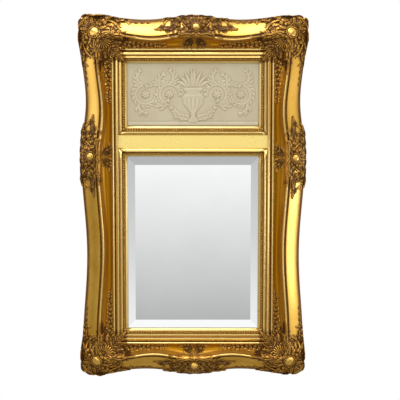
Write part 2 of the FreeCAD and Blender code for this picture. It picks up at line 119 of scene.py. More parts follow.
def noise(wire, place, scale, detail=3.0, rough=0.55):
    sockets = {"Vector": place, "Scale": scale, "Detail": detail, "Roughness": rough}
    return wire.node("ShaderNodeTexNoise", None, sockets)


def ownPlace(wire):
    return wire.node("ShaderNodeTexCoord", out="Object")


def ownValue(wire, name):
    return wire.node("ShaderNodeAttribute", {"attribute_name": name}, out="Fac")


def bump(wire, height, depth, strength=1.0):
    return wire.node("ShaderNodeBump", None, {"Height": height, "Distance": depth, "Strength": strength})


def material(name, sockets):
    made = bpy.data.materials.new(name)
    made.use_nodes = True
    shader = made.node_tree.nodes["Principled BSDF"]
    for key, value in sockets(Wire(made.node_tree)).items():
        if isinstance(value, Wire):
            made.node_tree.links.new(value.socket, shader.inputs[key])
        else:
            shader.inputs[key].default_value = value
    return made


# finishes
wood = {"pale": (0.47, 0.30, 0.15, 1), "dark": (0.30, 0.17, 0.075, 1)}
hardWood = {"pale": (0.24, 0.125, 0.055, 1), "dark": (0.14, 0.07, 0.03, 1)}
# cream and amber paint highlight and shade on the rails; umber and castUmber paint patina and shade into the hollows
gilding = {
    "leaf": (0.94, 0.56, 0.10, 1), "thinLeaf": (0.86, 0.48, 0.07, 1), "amber": (0.49, 0.215, 0.006, 1),
    "pale": (1.0, 0.79, 0.26, 1), "cream": (1.0, 0.78, 0.32, 1), "bole": (0.26, 0.06, 0.02, 1),
    "umber": (0.125, 0.047, 0.004, 1), "castUmber": (0.075, 0.028, 0.004, 1),
    "castLeaf": (0.92, 0.51, 0.10, 1), "castShade": (0.56, 0.26, 0.045, 1),
    "lapSpacing": 82.0, "lapShift": 24.6, "lapWidth": (0.3, 1.6),
    "specular": 0.14, "coat": 0.42, "coatRough": 0.2, "flatPaler": 0.9, "flatDepth": 0.003,
}


def gilt(paler, bareFrom=None):
    # tone runs from a painted highlight in cream at -1 to painted shade in amber at 1; the wood is bare behind
    # bareFrom
    def sockets(wire):
        place, dirt, tone = ownPlace(wire), ownValue(wire, "dirt"), ownValue(wire, "tone")
        cloud, speck = noise(wire, place, 11.0, 4.0), noise(wire, place, 160.0)
        # the umber mix is patina in the hollows plus painted shade
        patinaAndShade = (dirt * 1.25 + (cloud - 0.5) * 0.5 * dirt + (speck - 0.5) * 0.5 * dirt).limited()
        lap = wire.maths("PINGPONG", ownValue(wire, "run") + gilding["lapShift"], gilding["lapSpacing"] / 2)
        seam = (1 - lap.step(*gilding["lapWidth"])) * cloud.step(0.45, 0.62)
        rub = speck.step(0.66, 0.76) * cloud.step(0.52, 0.66) * 0.5
        gold = mixColour(wire, cloud.step(0.35, 0.7), gilding["thinLeaf"], gilding["leaf"])
        layers = (((0 - tone).limited(), "cream"), (paler, "pale"), ((seam * 0.25 + rub).limited(), "bole"),
                  (tone.limited(), "amber"), (patinaAndShade, "umber"))
        for share, colour in layers:
            gold = mixColour(wire, share, gold, gilding[colour])
        covered = 1.0
        if bareFrom is not None:
            depth = wire.node("ShaderNodeSeparateXYZ", None, {0: place}, out=1)
            covered = 1 - depth.step(bareFrom - mm, bareFrom)
            gold = mixColour(wire, covered, mixColour(wire, cloud, wood["dark"], wood["pale"]), gold)
        return {
            "Base Color": gold,
            "Metallic": (1 - 0.5 * paler) * (1 - patinaAndShade * 0.8) * covered,
            "Roughness": (0.19 + cloud * 0.14 + patinaAndShade * 0.35).limited(),
            "Normal": bump(wire, cloud * 0.6 + speck * 0.25, 0.0005, 0.4),
            "Coat Weight": gilding["coat"] * (1 - (tone + patinaAndShade).limited()) * covered,
            "Coat Roughness": gilding["coatRough"],
            "Specular IOR Level": gilding["specular"],
        }
    return sockets


def giltCast(wire):
    # the umber mix is patina in the hollows plus painted shade; values below 0 mark the polished cabochons, painted
    # paler and less metallic as a highlight on their tops
    place, dirt = ownPlace(wire), ownValue(wire, "dirt")
    cloud, speck, pitted = noise(wire, place, 34.0, 4.0), noise(wire, place, 230.0), noise(wire, place, 190.0, 2.0)
    patinaAndShade = (0.05 + dirt * 1.05 + (cloud - 0.5) * 0.7 + (speck - 0.5) * 0.4).limited()
    leaf = mixColour(wire, cloud, gilding["castShade"], gilding["castLeaf"])
    leaf = mixColour(wire, (dirt * -2.0).limited(), leaf, gilding["pale"])
    return {
        "Base Color": mixColour(wire, patinaAndShade, leaf, gilding["castUmber"]),
        "Metallic": (1 - patinaAndShade * 0.75) * (1 - (dirt * -3.0).limited() * 0.5),
        "Roughness": (0.20 + cloud * 0.12 + patinaAndShade * 0.25).limited(),
        "Normal": bump(wire, speck * 0.3 + pitted * dirt.step(-0.2, 0.1), 0.0014, 0.7),
        "Specular IOR Level": gilding["specular"],
    }


# recessDirtAndShade is the dark colour for dirt and painted shade in the recesses
plaster = {"face": (0.53, 0.465, 0.335, 1), "recessDirtAndShade": (0.25, 0.19, 0.11, 1), "bloom": (0.61, 0.545, 0.41, 1)}


def castPlaster(wire):
    place, dirt = ownPlace(wire), ownValue(wire, "dirt")
    cloud, speck = noise(wire, place, 18.0, 4.0), noise(wire, place, 420.0)
    face = mixColour(wire, cloud.step(0.35, 0.7), plaster["face"], plaster["bloom"])
    # the recesses are darkened: dirt and painted shade
    recessDirtAndShade = (dirt * 1.1 + (cloud - 0.5) * 0.3 + (speck - 0.5) * 0.2).limited()
    return {
        "Base Color": mixColour(wire, recessDirtAndShade, face, plaster["recessDirtAndShade"]),
        "Roughness": 0.55 + cloud * 0.2,
        "Normal": bump(wire, speck, 0.0003, 0.4),
    }


def silveredGlass(wire):
    haze = noise(wire, ownPlace(wire), 6.0).step(0.35, 0.75)
    return {
        "Base Color": mixColour(wire, haze, (0.90, 0.91, 0.91, 1), (0.93, 0.94, 0.935, 1)),
        "Metallic": 1.0,
        "Roughness": 0.012 + haze * 0.012,
    }


def grained(tones, scale):
    # wood with its grain drawn out along the direction of the smallest scale
    def sockets(wire):
        place = wire.node("ShaderNodeMapping", None, {"Vector": ownPlace(wire), "Scale": scale})
        pore = noise(wire, place, 60.0)
        line = wire.maths("PINGPONG", noise(wire, place, 9.0, 5.0, 0.6) * 7.0, 1.0)
        tone = (line * 0.6 + pore * 0.4).limited()
        return {
            "Base Color": mixColour(wire, tone, tones["dark"], tones["pale"]),
            "Roughness": 0.62 + pore * 0.2,
            "Normal": bump(wire, tone, 0.0005, 0.4),
        }
    return sockets


def speckled(first, second, scale, rough, metal=0.0):
    def sockets(wire):
        place = ownPlace(wire)
        fine, broad = noise(wire, place, scale, 4.0), noise(wire, place, scale * 0.08)
        return {
            "Base Color": mixColour(wire, (fine * 0.6 + broad * 0.4).step(0.35, 0.65), first, second),
            "Metallic": metal,
            "Roughness": (rough + (broad - 0.5) * 0.25).limited(),
            "Normal": bump(wire, fine, 0.0003, 0.5),
        }
    return sockets


recipes = {
    "giltRail": gilt(0.0), "giltCast": giltCast, "castPlaster": castPlaster, "silveredGlass": silveredGlass,
    "giltFlat": gilt(gilding["flatPaler"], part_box("cross_rail")[1][1] - gilding["flatDepth"]),
    "railWood": grained(wood, (6.0, 6.0, 6.0)), "keyWood": grained(hardWood, (6.0, 6.0, 6.0)),
    "uprightWood": grained(wood, (9.0, 9.0, 0.7)), "levelWood": grained(wood, (0.7, 9.0, 9.0)),
    "hardboard": speckled((0.16, 0.085, 0.04, 1), (0.24, 0.14, 0.07, 1), 240.0, 0.7),
    "backPaint": speckled((0.12, 0.13, 0.14, 1), (0.18, 0.19, 0.20, 1), 60.0, 0.5),
    "felt": speckled((0.03, 0.055, 0.035, 1), (0.06, 0.09, 0.06, 1), 500.0, 0.95),
    "rubber": speckled((0.05, 0.045, 0.04, 1), (0.09, 0.085, 0.08, 1), 300.0, 0.75),
    "brass": speckled((0.55, 0.37, 0.11, 1), (0.76, 0.55, 0.20, 1), 130.0, 0.34, 1.0),
    "steel": speckled((0.42, 0.41, 0.39, 1), (0.62, 0.61, 0.58, 1), 150.0, 0.36, 1.0),
}
finishes = {name: material(name, sockets) for name, sockets in recipes.items()}
print("finishes:", len(finishes))


# arrays and meshes
def smooth(value, low, high):
    # 0 at low and 1 at high, with a flat start and end
    share = np.clip((value - low) / (high - low), 0, 1)
    return share * share * (3 - 2 * share)


def addObject(name, data):
    made = bpy.data.objects.new(name, data)
    scene.collection.objects.link(made)
    return made


def meshPiece(name, points, faces, values, finish, slot, nodes=()):
    # faces is a list of index arrays with one row a face, values holds numbers for the vertices
    mesh = bpy.data.meshes.new(name)
    mesh.vertices.add(len(points))
    mesh.vertices.foreach_set("co", (points * mm).astype(np.float32).ravel())
    corners = np.concatenate([rows.ravel() for rows in faces]).astype(np.int32)
    sizes = np.concatenate([np.full(len(rows), rows.shape[1]) for rows in faces])
    starts = np.concatenate([[0], np.cumsum(sizes)[:-1]]).astype(np.int32)
    mesh.loops.add(len(corners))
    mesh.loops.foreach_set("vertex_index", corners)
    mesh.polygons.add(len(sizes))
    mesh.polygons.foreach_set("loop_start", starts)
    mesh.polygons.foreach_set("use_smooth", np.ones(len(sizes), dtype=bool))
    for key, value in values.items():
        if key == "finish":
            mesh.polygons.foreach_set("material_index", value.astype(np.int32))
            continue
        layer = mesh.attributes.new(key, "FLOAT", "POINT")
        layer.data.foreach_set("value", np.asarray(value, dtype=np.float32).ravel())
    mesh.update(calc_edges=True)
    mesh.validate()
    for one in finish:
        mesh.materials.append(finishes[one])
    piece = addObject(name, mesh)
    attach(piece, "frame")
    if nodes:
        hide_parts(*nodes)


def outward(points, faces):
    # a closed shell has a volume above zero when its faces point outwards
    volume = 0.0
    for rows in faces:
        first = points[rows[:, 0]]
        for k in range(1, rows.shape[1] - 1):
            cross = np.cross(points[rows[:, k]], points[rows[:, k + 1]])
            volume += np.einsum("ij,ij->", first, cross)
    return [rows[:, ::-1] for rows in faces] if volume < 0 else faces


def gridIds(rows, columns, closed):
    # corners of the quads of a grid of points, with its columns closed to a ring or not
    ids = np.arange(rows * columns).reshape(rows, columns)
    if closed:
        ids = np.concatenate([ids, ids[:, :1]], axis=1)
    return np.stack([ids[:-1, :-1], ids[1:, :-1], ids[1:, 1:], ids[:-1, 1:]], axis=-1).reshape(-1, 4)


def sweptBar(rings):
    # rings of points joined by quads, with a flat face on each end
    rows, columns = rings.shape[:2]
    ends = np.arange(columns)
    faces = [gridIds(rows, columns, True), ends[None, :], ends[None, ::-1] + (rows - 1) * columns]
    points = rings.reshape(-1, 3)
    return points, outward(points, faces)


def joinShells(shells):
    # each shell is points, faces and values; the sets of faces become one list
    points, faces, values, count = [], [], {}, 0
    for shellPoints, shellFaces, shellValues in shells:
        points.append(shellPoints)
        faces += [rows + count for rows in shellFaces]
        for key, value in shellValues.items():
            values.setdefault(key, []).append(np.asarray(value).ravel())
        count += len(shellPoints)
    return np.concatenate(points), faces, {key: np.concatenate(value) for key, value in values.items()}


# sizes read from the frame
def nodeBox(name):
    low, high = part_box(name)
    return np.array(low) / mm, np.array(high) / mm


plaqueTop = nodeBox("plaque_slip_top")[1]
halfWide, halfTall = plaqueTop[0], plaqueTop[2]  # the inside of the lips
frameBack = nodeBox("top_rail")[1][1]
levels = {
    "plaque": (nodeBox("plaque_slip_bottom")[0][2], halfTall),
    "mirror": (-halfTall, nodeBox("mirror_slip_top")[1][2]),
}


# the section of the swept rail
rail = {
    "lip": (8.0, 37.0, 4.0), "quirk": (4.0, 3.0), "bead": (6.0, 5.0), "hollowFloor": 27.0,
    "ridgeAt": 41.0, "ridgeSweep": 13.0, "ridge": (7.0, 57.0, 4.5), "groove": (6.0, 51.0), "quirkLean": 0.6,
    "grooveLean": (2.4, 1.2, 0.6), "panelTop": 53.0, "panelBow": (8.0, 6.0, 7.6), "noseHeight": 24.0,
    "noseRadius": 5.0, "noseUnder": 16.0, "undercut": 12.0, "backSet": 0.3, "width": 93.5, "reach": 108.5,
    "sweepLevel": 10.5, "sweepUpright": 15.0, "cornerFlat": 0.12, "cornerRadius": 20.0, "sideLobe": 115.0,
    # shadeIn and shadeOut bound the painted shade in the hollow; paler holds the painted highlights of the lip, bead
    # and ridge crest
    "ringsLevel": 190, "ringsUpright": 270, "shadeIn": 3.0, "shadeOut": (2.0, 10.0), "paler": (0.7, 1.0, 0.4),
}


def knot(away, height, dirt, ridge=0.0, edge=0.0):
    # a point of the section: how far from the lip, how high, its dirt and painted shade, and its share of the ridge's
    # and edge's waves
    return np.array([away, ridge, edge, height, dirt])


def bezier(a, b, c, d, steps):
    # a cubic curve from a to d that is drawn towards b and c
    t = np.linspace(0, 1, steps)[:, None]
    return (1 - t) ** 3 * a + 3 * (1 - t) ** 2 * t * b + 3 * (1 - t) * t ** 2 * c + t ** 3 * d


def hump(start, end, rise, crestShade, steps=9):
    # crestShade is the dirt and painted shade at the middle of the bead
    # a round bead between two knots: a cubic curve whose inner points lie 4/3 of the rise above them
    lift = np.array([0, 0, 0, rise * 4 / 3, 0])
    low, high = start + lift, end + lift
    low[4] = high[4] = crestShade
    return bezier(start, low, high, end, steps)


def straight(start, end, steps):
    # points at even steps from one knot to the other
    return start + (end - start) * np.linspace(0, 1, steps)[:, None]


def joinRuns(runs):
    # each run stops short of the point where the next one starts
    return np.concatenate([run[:-1] for run in runs])


def railSection():
    # from the lip out to the waved edge, then round the back to the lip again
    lipWidth, base, lipRise = rail["lip"]
    quirkWidth, quirkDepth = rail["quirk"]
    beadWidth, beadRise = rail["bead"]
    ridgeWidth, ridgeBase, ridgeRise = rail["ridge"]
    grooveWidth, grooveFloor = rail["groove"]
    lean, (fall, climb, lift) = rail["quirkLean"], rail["grooveLean"]
    bow, bowIn, bowOut = rail["panelBow"]
    beadAt = lipWidth + quirkWidth
    hollowAt, ridgeAt, floor = beadAt + beadWidth, rail["ridgeAt"], rail["hollowFloor"]
    wide, grooveAt = ridgeAt - hollowAt, ridgeAt + ridgeWidth
    panelAt, panelTop = grooveAt + grooveWidth, rail["panelTop"]
    edgeAt, nose, noseTop, under = rail["width"], rail["noseRadius"], rail["noseHeight"], rail["noseUnder"]
    backAt, back = edgeAt - rail["undercut"], rail["backSet"]
    quirkIn = knot(lipWidth + lean, base - quirkDepth, 0.65)
    quirkOut = knot(beadAt - lean, base - quirkDepth, 0.65)
    grooveIn = knot(grooveAt + fall, grooveFloor, 0.8, 1)
    grooveOut = knot(panelAt - climb, grooveFloor + lift, 0.8, 1)
    # painted shade lies on the flanks of the ridge and round the nose and its underside, dirt and painted shade in the
    # quirk and groove; the lip, bead and ridge crest are kept clear of it
    shown = [
        hump(knot(0, base + lipRise, 0.2), knot(lipWidth, base, -0.3), 0.45 * lipRise, -0.4),
        straight(knot(lipWidth, base, 0.7), quirkIn, 3),
        straight(quirkIn, quirkOut, 4),
        straight(quirkOut, knot(beadAt, base, 0.5), 3),
        hump(knot(beadAt, base, -0.1), knot(hollowAt, base, -0.3), beadRise, -0.5),
        bezier(knot(hollowAt, base, 0.5), knot(hollowAt + 0.3 * wide, floor, 0.0, 0.3),
               knot(ridgeAt - 0.12 * wide, floor, 0.1, 0.88), knot(ridgeAt, ridgeBase, 0.2, 1), 22),
        hump(knot(ridgeAt, ridgeBase, 1.6, 1), knot(grooveAt, ridgeBase, 3.0, 1), ridgeRise, -1.1),
        straight(knot(grooveAt, ridgeBase, 0.7, 1), grooveIn, 4),
        straight(grooveIn, grooveOut, 4),
        straight(grooveOut, knot(panelAt, panelTop, 0.4, 1), 3),
        bezier(knot(panelAt, panelTop, 0.35, 1), knot(panelAt + bow, panelTop - bowIn, -0.1, 0.8, 0.2),
               knot(edgeAt - nose - bow, noseTop + bowOut, -0.2, 0.2, 0.8),
               knot(edgeAt - nose, noseTop, 0.9, 0, 1), 20),
        bezier(knot(edgeAt - nose, noseTop, 0.8, 0, 1), knot(edgeAt, noseTop - nose, 0.8, 0, 1),
               knot(edgeAt, under + nose / 2, 1.1, 0, 1), knot(edgeAt, under, 1.2, 0, 1), 9),
    ]
    hidden = [
        straight(knot(edgeAt, under, 0.6, 0, 1), knot(backAt, back, 0.6, 0, 1), 4),
        straight(knot(backAt, back, 0, 0, 1), knot(0, back, 0), 8),
        straight(knot(0, back, 0), knot(0, base + lipRise, 0.9), 4),
    ]
    return joinRuns(shown), joinRuns(hidden)


shownSection, hiddenSection = railSection()
hollowStart = rail["lip"][0] + rail["quirk"][0] + rail["bead"][0]
panelStart = rail["ridge"][0] + rail["groove"][0]
sideMiddle = rail["sideLobe"] / (halfTall + rail["width"])


def swingAt(t, middle):
    # the wave of the edge along a rail: 1 at the corners and at its middle lobe, 0 between
    end = 1 - rail["cornerFlat"]
    span = np.where(t > middle, end - middle, end + middle)
    return np.where(np.abs(t) >= end, 1.0, 0.5 + 0.5 * np.cos(2 * np.pi * (t - middle) / span))


def cornerDrop(t, half):
    # how far the rounded corner draws the edge in
    radius = rail["cornerRadius"]
    start = 1 - radius / half
    share = np.clip((np.abs(t) - start) / (1 - start), 0, 1)
    return radius - np.sqrt(radius ** 2 - (share * radius) ** 2 / 2)


def waveEdge(t, swing, level):
    # how far out from the lip the waved edge lies
    half = np.where(level, halfWide, halfTall) + rail["reach"]
    sweep = np.where(level, rail["sweepLevel"], rail["sweepUpright"])
    return rail["reach"] - sweep * (1 - swing) - cornerDrop(t, half)


def railField(x, z):
    # for points of the plan: how far out from the lip, the wave there, and the rail's outer edge
    overX, overZ = np.abs(x) - halfWide, np.abs(z) - halfTall
    level = overZ >= overX
    away = np.maximum(overX, overZ)
    t = np.clip(np.where(level, x / (halfWide + away), z / (halfTall + away)), -1, 1)
    swing = swingAt(t, np.where(level, 0.0, sideMiddle))
    return away, swing, waveEdge(t, swing, level)


def frameHeight(x, z):
    # height of the rail or slip under a point, from the section drawn in or out with the wave
    away, swing, edge = railField(x, z)
    ridge = rail["ridgeAt"] + rail["ridgeSweep"] * swing
    here = [0 * edge, hollowStart + 0 * edge, ridge, ridge + panelStart, edge - rail["noseRadius"], edge]
    plain = [0, hollowStart, rail["ridgeAt"], rail["ridgeAt"] + panelStart,
             rail["width"] - rail["noseRadius"], rail["width"]]
    drawn = 0 * edge
    for k in range(5):
        drawn = drawn + np.clip((away - here[k]) / (here[k + 1] - here[k]), 0, 1) * (plain[k + 1] - plain[k])
    height = np.interp(drawn, shownSection[:, 0], shownSection[:, 3])
    height = np.where(away < 0, np.interp(-away, slipFront[:, 0], slipFront[:, 1]), height)
    return np.where(away > edge, rail["noseUnder"] - 4 * (away - edge), height)


def onFrame(x, z, height):
    # heights count forwards from the back of the frame
    return np.stack(np.broadcast_arrays(x, frameBack - height, z), axis=-1)


def makeRail(side, sign):
    # the section carried along the rail to its mitres; the wave moves its ridge and edge in and out
    section = np.concatenate([shownSection, hiddenSection])
    upright = side in ("left", "right")
    rings = rail["ringsUpright" if upright else "ringsLevel"]
    t = np.linspace(-1, 1, rings)
    swing = swingAt(t, sideMiddle if upright else 0.0)
    edge = waveEdge(t, swing, not upright) - rail["width"]
    away = section[:, 0] + np.outer(rail["ridgeSweep"] * swing, section[:, 1]) + np.outer(edge, section[:, 2])
    if upright:
        x, z = sign * (halfWide + away), t[:, None] * (halfTall + away)
    else:
        x, z = t[:, None] * (halfWide + away), sign * (halfTall + away)
    points, faces = sweptBar(onFrame(x, z, section[:, 3] + 0 * away))
    bare = np.arange(len(section)) >= len(shownSection)
    out, ridgeAt = section[:, 0], rail["ridgeAt"]
    lipEnd, ridgeMiddle = rail["lip"][0], ridgeAt + rail["ridge"][0] / 2
    beadAt = lipEnd + rail["quirk"][0]
    lipHighlight, beadHighlight, ridgeHighlight = rail["paler"]
    # tone: amber in the quirk and hollow as painted shade, cream on the lip, bead and ridge crest as painted
    # highlights
    shadedHollow = smooth(out, hollowStart, hollowStart + rail["shadeIn"])
    shadedHollow = shadedHollow * smooth(out, *(ridgeAt - np.array(rail["shadeOut"]))) + ((out >= lipEnd) & (out <= beadAt))
    tone = shadedHollow - lipHighlight * (out < lipEnd) - beadHighlight * ((out > beadAt) & (out < hollowStart))
    tone = tone - ridgeHighlight * (np.abs(out - ridgeMiddle) < ridgeMiddle - ridgeAt - 0.1)
    half = (halfTall if upright else halfWide) + rail["reach"]
    values = {
        "dirt": np.tile(section[:, 4], rings), "run": np.repeat(t * half, len(section)),
        "tone": np.tile(tone, rings), "finish": np.concatenate([np.tile(bare, rings - 1), [True, True]]),
    }
    finish = ["giltRail", "uprightWood" if upright else "levelWood"]
    meshPiece(f"{side}Rail", points, faces, values, finish, slot="gilt_rail", nodes=[f"{side}_rail"])


# the slips round the two openings
slip = {
    "width": 26.0, "back": 10.0, "seat": 2.2, "fillet": (10.0, 35.0, 3.5), "filletLean": 1.2, "band": (19.4, 31.0),
    "cove": (20.0, 25.2), "sightRise": 5.4, "flange": 22.0, "rebate": 9.0, "rings": 24,
    # beadTone paints the beads cream as a highlight; beadShade sets their painted shade, most at their foot and none
    # on top
    "beadPitch": 7.3, "beadSize": (3.4, 2.5, 3.4), "beadTone": -0.7, "beadShade": (0.62, 1.5),
}


def slipSection():
    # way in from the lip, height, dirt and painted shade
    fillet, base, rise = slip["fillet"]
    band, bandAt = slip["band"]
    cove, sight = slip["cove"]
    width, seat, flange, back = slip["width"], slip["seat"], slip["flange"], slip["back"]
    bandStart, coveTop, rebate = fillet + slip["filletLean"], sight + slip["sightRise"], width - slip["rebate"]
    shown = [
        straight(knot(0, base, 0.4), knot(seat, base, 0.3), 3),
        hump(knot(seat, base, -0.3), knot(fillet, base + rise, 0.2), 0.45 * rise, -0.5),
        straight(knot(fillet, base + rise, 0.5), knot(bandStart, bandAt, 0.6), 3),
        straight(knot(bandStart, bandAt, 0.55), knot(band, bandAt, 0.5), 5),
        straight(knot(band, bandAt, 0.4), knot(cove, coveTop, 0.6), 3),
        hump(knot(cove, coveTop, 0.2), knot(width, sight, 0.2), 0.8, 0.25, 8),
        straight(knot(width, sight, 0.3), knot(width, flange, 0.9), 4),
    ]
    turns = [knot(*place, 1) for place in ((width, flange), (rebate, flange), (rebate, back), (0, back), (0, base))]
    hidden = [straight(start, end, 3) for start, end in zip(turns, turns[1:])]
    return joinRuns(shown)[:, [0, 3, 4]], joinRuns(hidden)[:, [0, 3, 4]]


slipFront, slipBack = slipSection()


def beadShape():
    # rings of a round bead from near its pole to below the band, a pole point and a flat underside
    around = np.arange(8) * math.pi / 4
    up = np.radians([58.0, 25.0, -12.0])
    rings = np.stack([np.outer(np.cos(up), np.cos(around)), np.outer(np.cos(up), np.sin(around)),
                      np.repeat(np.sin(up)[:, None], 8, axis=1)], axis=-1).reshape(-1, 3)
    points = np.concatenate([rings, [[0, 0, 1.0]]])
    spoke = np.arange(8)
    cap = np.stack([spoke, (spoke + 1) % 8, np.full(8, 24)], axis=1)
    faces = [gridIds(3, 8, True), cap, (spoke + 16)[None, ::-1]]
    return points, outward(points, [faces[0][:, ::-1], faces[1], faces[2]])


def makeSlip(opening, side, sign):
    # the section carried along one side of an opening to its mitres, with beads at an even pitch on its band
    low, high = levels[opening]
    upright = side in ("left", "right")
    section = np.concatenate([slipFront, slipBack])
    inset, height, dirt = section.T
    rings, (fillet, band, cove) = slip["rings"], (slip[key][0] for key in ("fillet", "band", "cove"))

    def place(share, inset):  # a share of the way along and a way in from the lip
        if upright:
            return sign * (halfWide - inset) + 0 * share, low + inset + share * (high - low - 2 * inset)
        return (2 * share - 1) * (halfWide - inset), (high - inset if sign > 0 else low + inset) + 0 * share

    t = np.linspace(0, 1, rings)[:, None]
    points, faces = sweptBar(onFrame(*place(t, inset), height + 0 * t))
    beadIn = (fillet + band) / 2 + 0.6
    reach = (high - low if upright else 2 * halfWide) - 2 * beadIn
    inBand = smooth(inset, fillet, fillet + 1.5) * smooth(inset, cove, band)
    atJoint = 1.2 * smooth(inset, slip["seat"] + 0.6, slip["seat"] - 0.4)
    # cream on the fillet, seat and sight as a painted highlight; amber on the band and darker at the joint
    tone = 1.5 * inBand + atJoint - 0.7 - 0.3 * smooth(inset, cove, cove + 1)
    bar = {"dirt": np.tile(dirt, rings), "run": np.repeat(t * reach, len(section)), "tone": np.tile(tone, rings)}
    count = int(reach / slip["beadPitch"])
    share = (np.arange(count) + 0.5) / count
    shape, shapeFaces = beadShape()
    across, lengthwise, rise = slip["beadSize"]
    size = (across, -rise, lengthwise) if upright else (lengthwise, -rise, across)
    middle = onFrame(*place(share, beadIn), slip["band"][1])
    beads = (middle[:, None, :] + shape[:, [0, 2, 1]] * size).reshape(-1, 3)
    step = (np.arange(count) * len(shape))[:, None, None]
    beadFaces = [(rows[None] + step).reshape(-1, rows.shape[1]) for rows in outward(beads[:len(shape)], shapeFaces)]
    # painted shade down the sides of each bead, none on its top
    most, fall = slip["beadShade"]
    row = {
        "dirt": np.tile(most - fall * np.clip(shape[:, 2], 0, 1), count), "run": np.repeat(share * reach, len(shape)),
        "tone": np.full(len(beads), slip["beadTone"]),
    }
    joined = joinShells([(points, faces, bar), (beads, beadFaces, row)])
    name = f"{opening}Slip{side.title()}"
    meshPiece(name, *joined, ["giltRail"], slot="gilt_slip", nodes=[f"{opening}_slip_{side}"])


sides = {"top": 1, "bottom": -1, "left": -1, "right": 1}
for side, sign in sides.items():
    makeRail(side, sign)
for opening in levels:
    for side, sign in sides.items():
        makeSlip(opening, side, sign)
print("rails and slips done")


# forms of the castings: each gives a height inside its outline and minus the distance outside it
def arcFrame(p, q, x, y, heading, length, bend):
    # carries the plane along an arc: the share of its length passed, and how far to its left
    turn = math.radians(heading)
    u = (p - x) * math.cos(turn) + (q - y) * math.sin(turn)
    v = (q - y) * math.cos(turn) - (p - x) * math.sin(turn)
    if abs(bend) < 1:
        return u / length, v
    side = math.copysign(1, bend)
    radius = length / math.radians(abs(bend))
    angle = np.arctan2(u, radius - v * side)
    return angle * radius / length, (radius - np.hypot(u, radius - v * side)) * side


def leafForm(p, q, x, y, heading, length, width, rise, bend, lobes):
    # half width rises and falls with the sine of the way along; the lobes and veins sweep forward from the rib
    along, across = arcFrame(p, q, x, y, heading, length, bend)
    s = np.clip(along, 0.001, 0.999)
    plain = 0.5 * width * np.sin(np.pi * s ** 0.8) ** 0.7 + 0.2
    reach = np.minimum(np.abs(across) / plain, 1.2)
    half = plain * (0.72 + 0.28 * np.abs(np.cos(np.pi * lobes * (s - 0.3))) ** 0.6)
    dome = np.sqrt(np.clip(1 - (np.abs(across) / half) ** 3, 0, 1))
    veins = np.abs(np.cos(np.pi * lobes * (s - 0.3 * reach))) ** 0.6
    flutes = 1 - 0.55 * (1 - veins) * smooth(reach, 0.1, 0.5)
    rib = np.exp(-(across / (0.08 * width)) ** 2)
    curl = 0.3 * np.exp(-((s - 0.8) / 0.13) ** 2)
    height = rise * (dome * flutes * (0.62 + 0.25 * s + curl) - 0.3 * rib * (1 - s))
    out = np.maximum(np.abs(across) - half, np.maximum(along - 1, -along) * length)
    return np.where(out < 0, np.maximum(height, 0.1), -out)


def bandForm(p, q, x, y, heading, length, width, rise, bend):
    # a moulded strap along an arc, hollow down its middle
    along, across = arcFrame(p, q, x, y, heading, length, bend)
    s = np.clip(along, 0, 1)
    half = 0.5 * width * (1 - 0.4 * np.abs(2 * s - 1) ** 3)
    w = np.abs(across) / half
    height = rise * np.sqrt(np.clip(1 - w ** 4, 0, 1)) * (1 - 0.4 * np.exp(-(w / 0.35) ** 2))
    out = np.maximum(np.abs(across) - half, np.maximum(along - 1, -along) * length)
    return np.where(out < 0, height, -out)


def voluteForm(p, q, x, y, radius, rise, start, hand):
    # a rolled end: the height runs over one sine from turn to turn of a spiral
    r = np.hypot(p - x, q - y)
    angle = hand * np.arctan2(q - y, p - x) + math.radians(start)
    phase = r / radius * 1.6 + angle / (2 * np.pi)
    ridge = np.sin(np.pi * (phase - np.floor(phase)))
    height = rise * np.maximum((0.3 + 0.7 * ridge) * (1.1 - 0.35 * r / radius), 1.25 - (r / (0.32 * radius)) ** 2)
    return np.where(r < radius, height, radius - r)


def flowerForm(p, q, x, y, radius, rise, petals, turn=0.0):
    # petals round a button
    r = np.hypot(p - x, q - y)
    beat = np.abs(np.cos(0.5 * petals * (np.arctan2(q - y, p - x) - math.radians(turn))))
    edge = radius * (0.66 + 0.34 * beat)
    w = r / edge
    petal = rise * np.sqrt(np.clip(1 - (2 * w - 1.05) ** 2, 0, 1)) * (0.45 + 0.55 * beat)
    button = rise * 1.15 * np.sqrt(np.clip(1 - (r / (0.30 * radius)) ** 2, 0, 1))
    return np.where(r < edge, np.maximum(petal, button), edge - r)


def shellForm(p, q, x, y, heading, length, spread, flutes, rise):
    # ribs that fan out from a hinge, higher towards the scalloped rim
    r = np.hypot(p - x, q - y)
    angle = np.arctan2(q - y, p - x) - math.radians(heading)
    angle = np.abs(np.arctan2(np.sin(angle), np.cos(angle))) / math.radians(spread)
    beat = np.abs(np.cos(0.5 * np.pi * flutes * angle))
    edge = length * (0.86 + 0.14 * beat) * (1 - 0.12 * angle ** 2)
    height = rise * (0.3 + 0.7 * r / length) * (0.25 + 0.75 * beat) * np.sqrt(np.clip(1 - (r / edge) ** 8, 0, 1))
    out = np.maximum(r - edge, (angle - 1) * r)
    return np.where(out < 0, height, -out)


def ovalForm(p, q, x, y, long, short, turn, rise, rim=0.0):
    # a polished cabochon, or with a rim width the rope that runs round it
    c, s = math.cos(math.radians(turn)), math.sin(math.radians(turn))
    u, v = (p - x) * c + (q - y) * s, (q - y) * c - (p - x) * s
    r = np.hypot(u / long, v / short)
    if rim == 0:
        return np.where(r < 1, rise * np.sqrt(np.clip(1 - r * r, 0, 1)), (1 - r) * short)
    out = np.abs((r - 1) * short) - rim
    twist = 0.75 + 0.25 * np.cos(18 * np.arctan2(v / short, u / long) + 3.0 * (r - 1) * short / rim)
    return np.where(out < 0, rise * twist * np.sqrt(np.clip(1 - (1 + out / rim) ** 2, 0, 1)), -out)


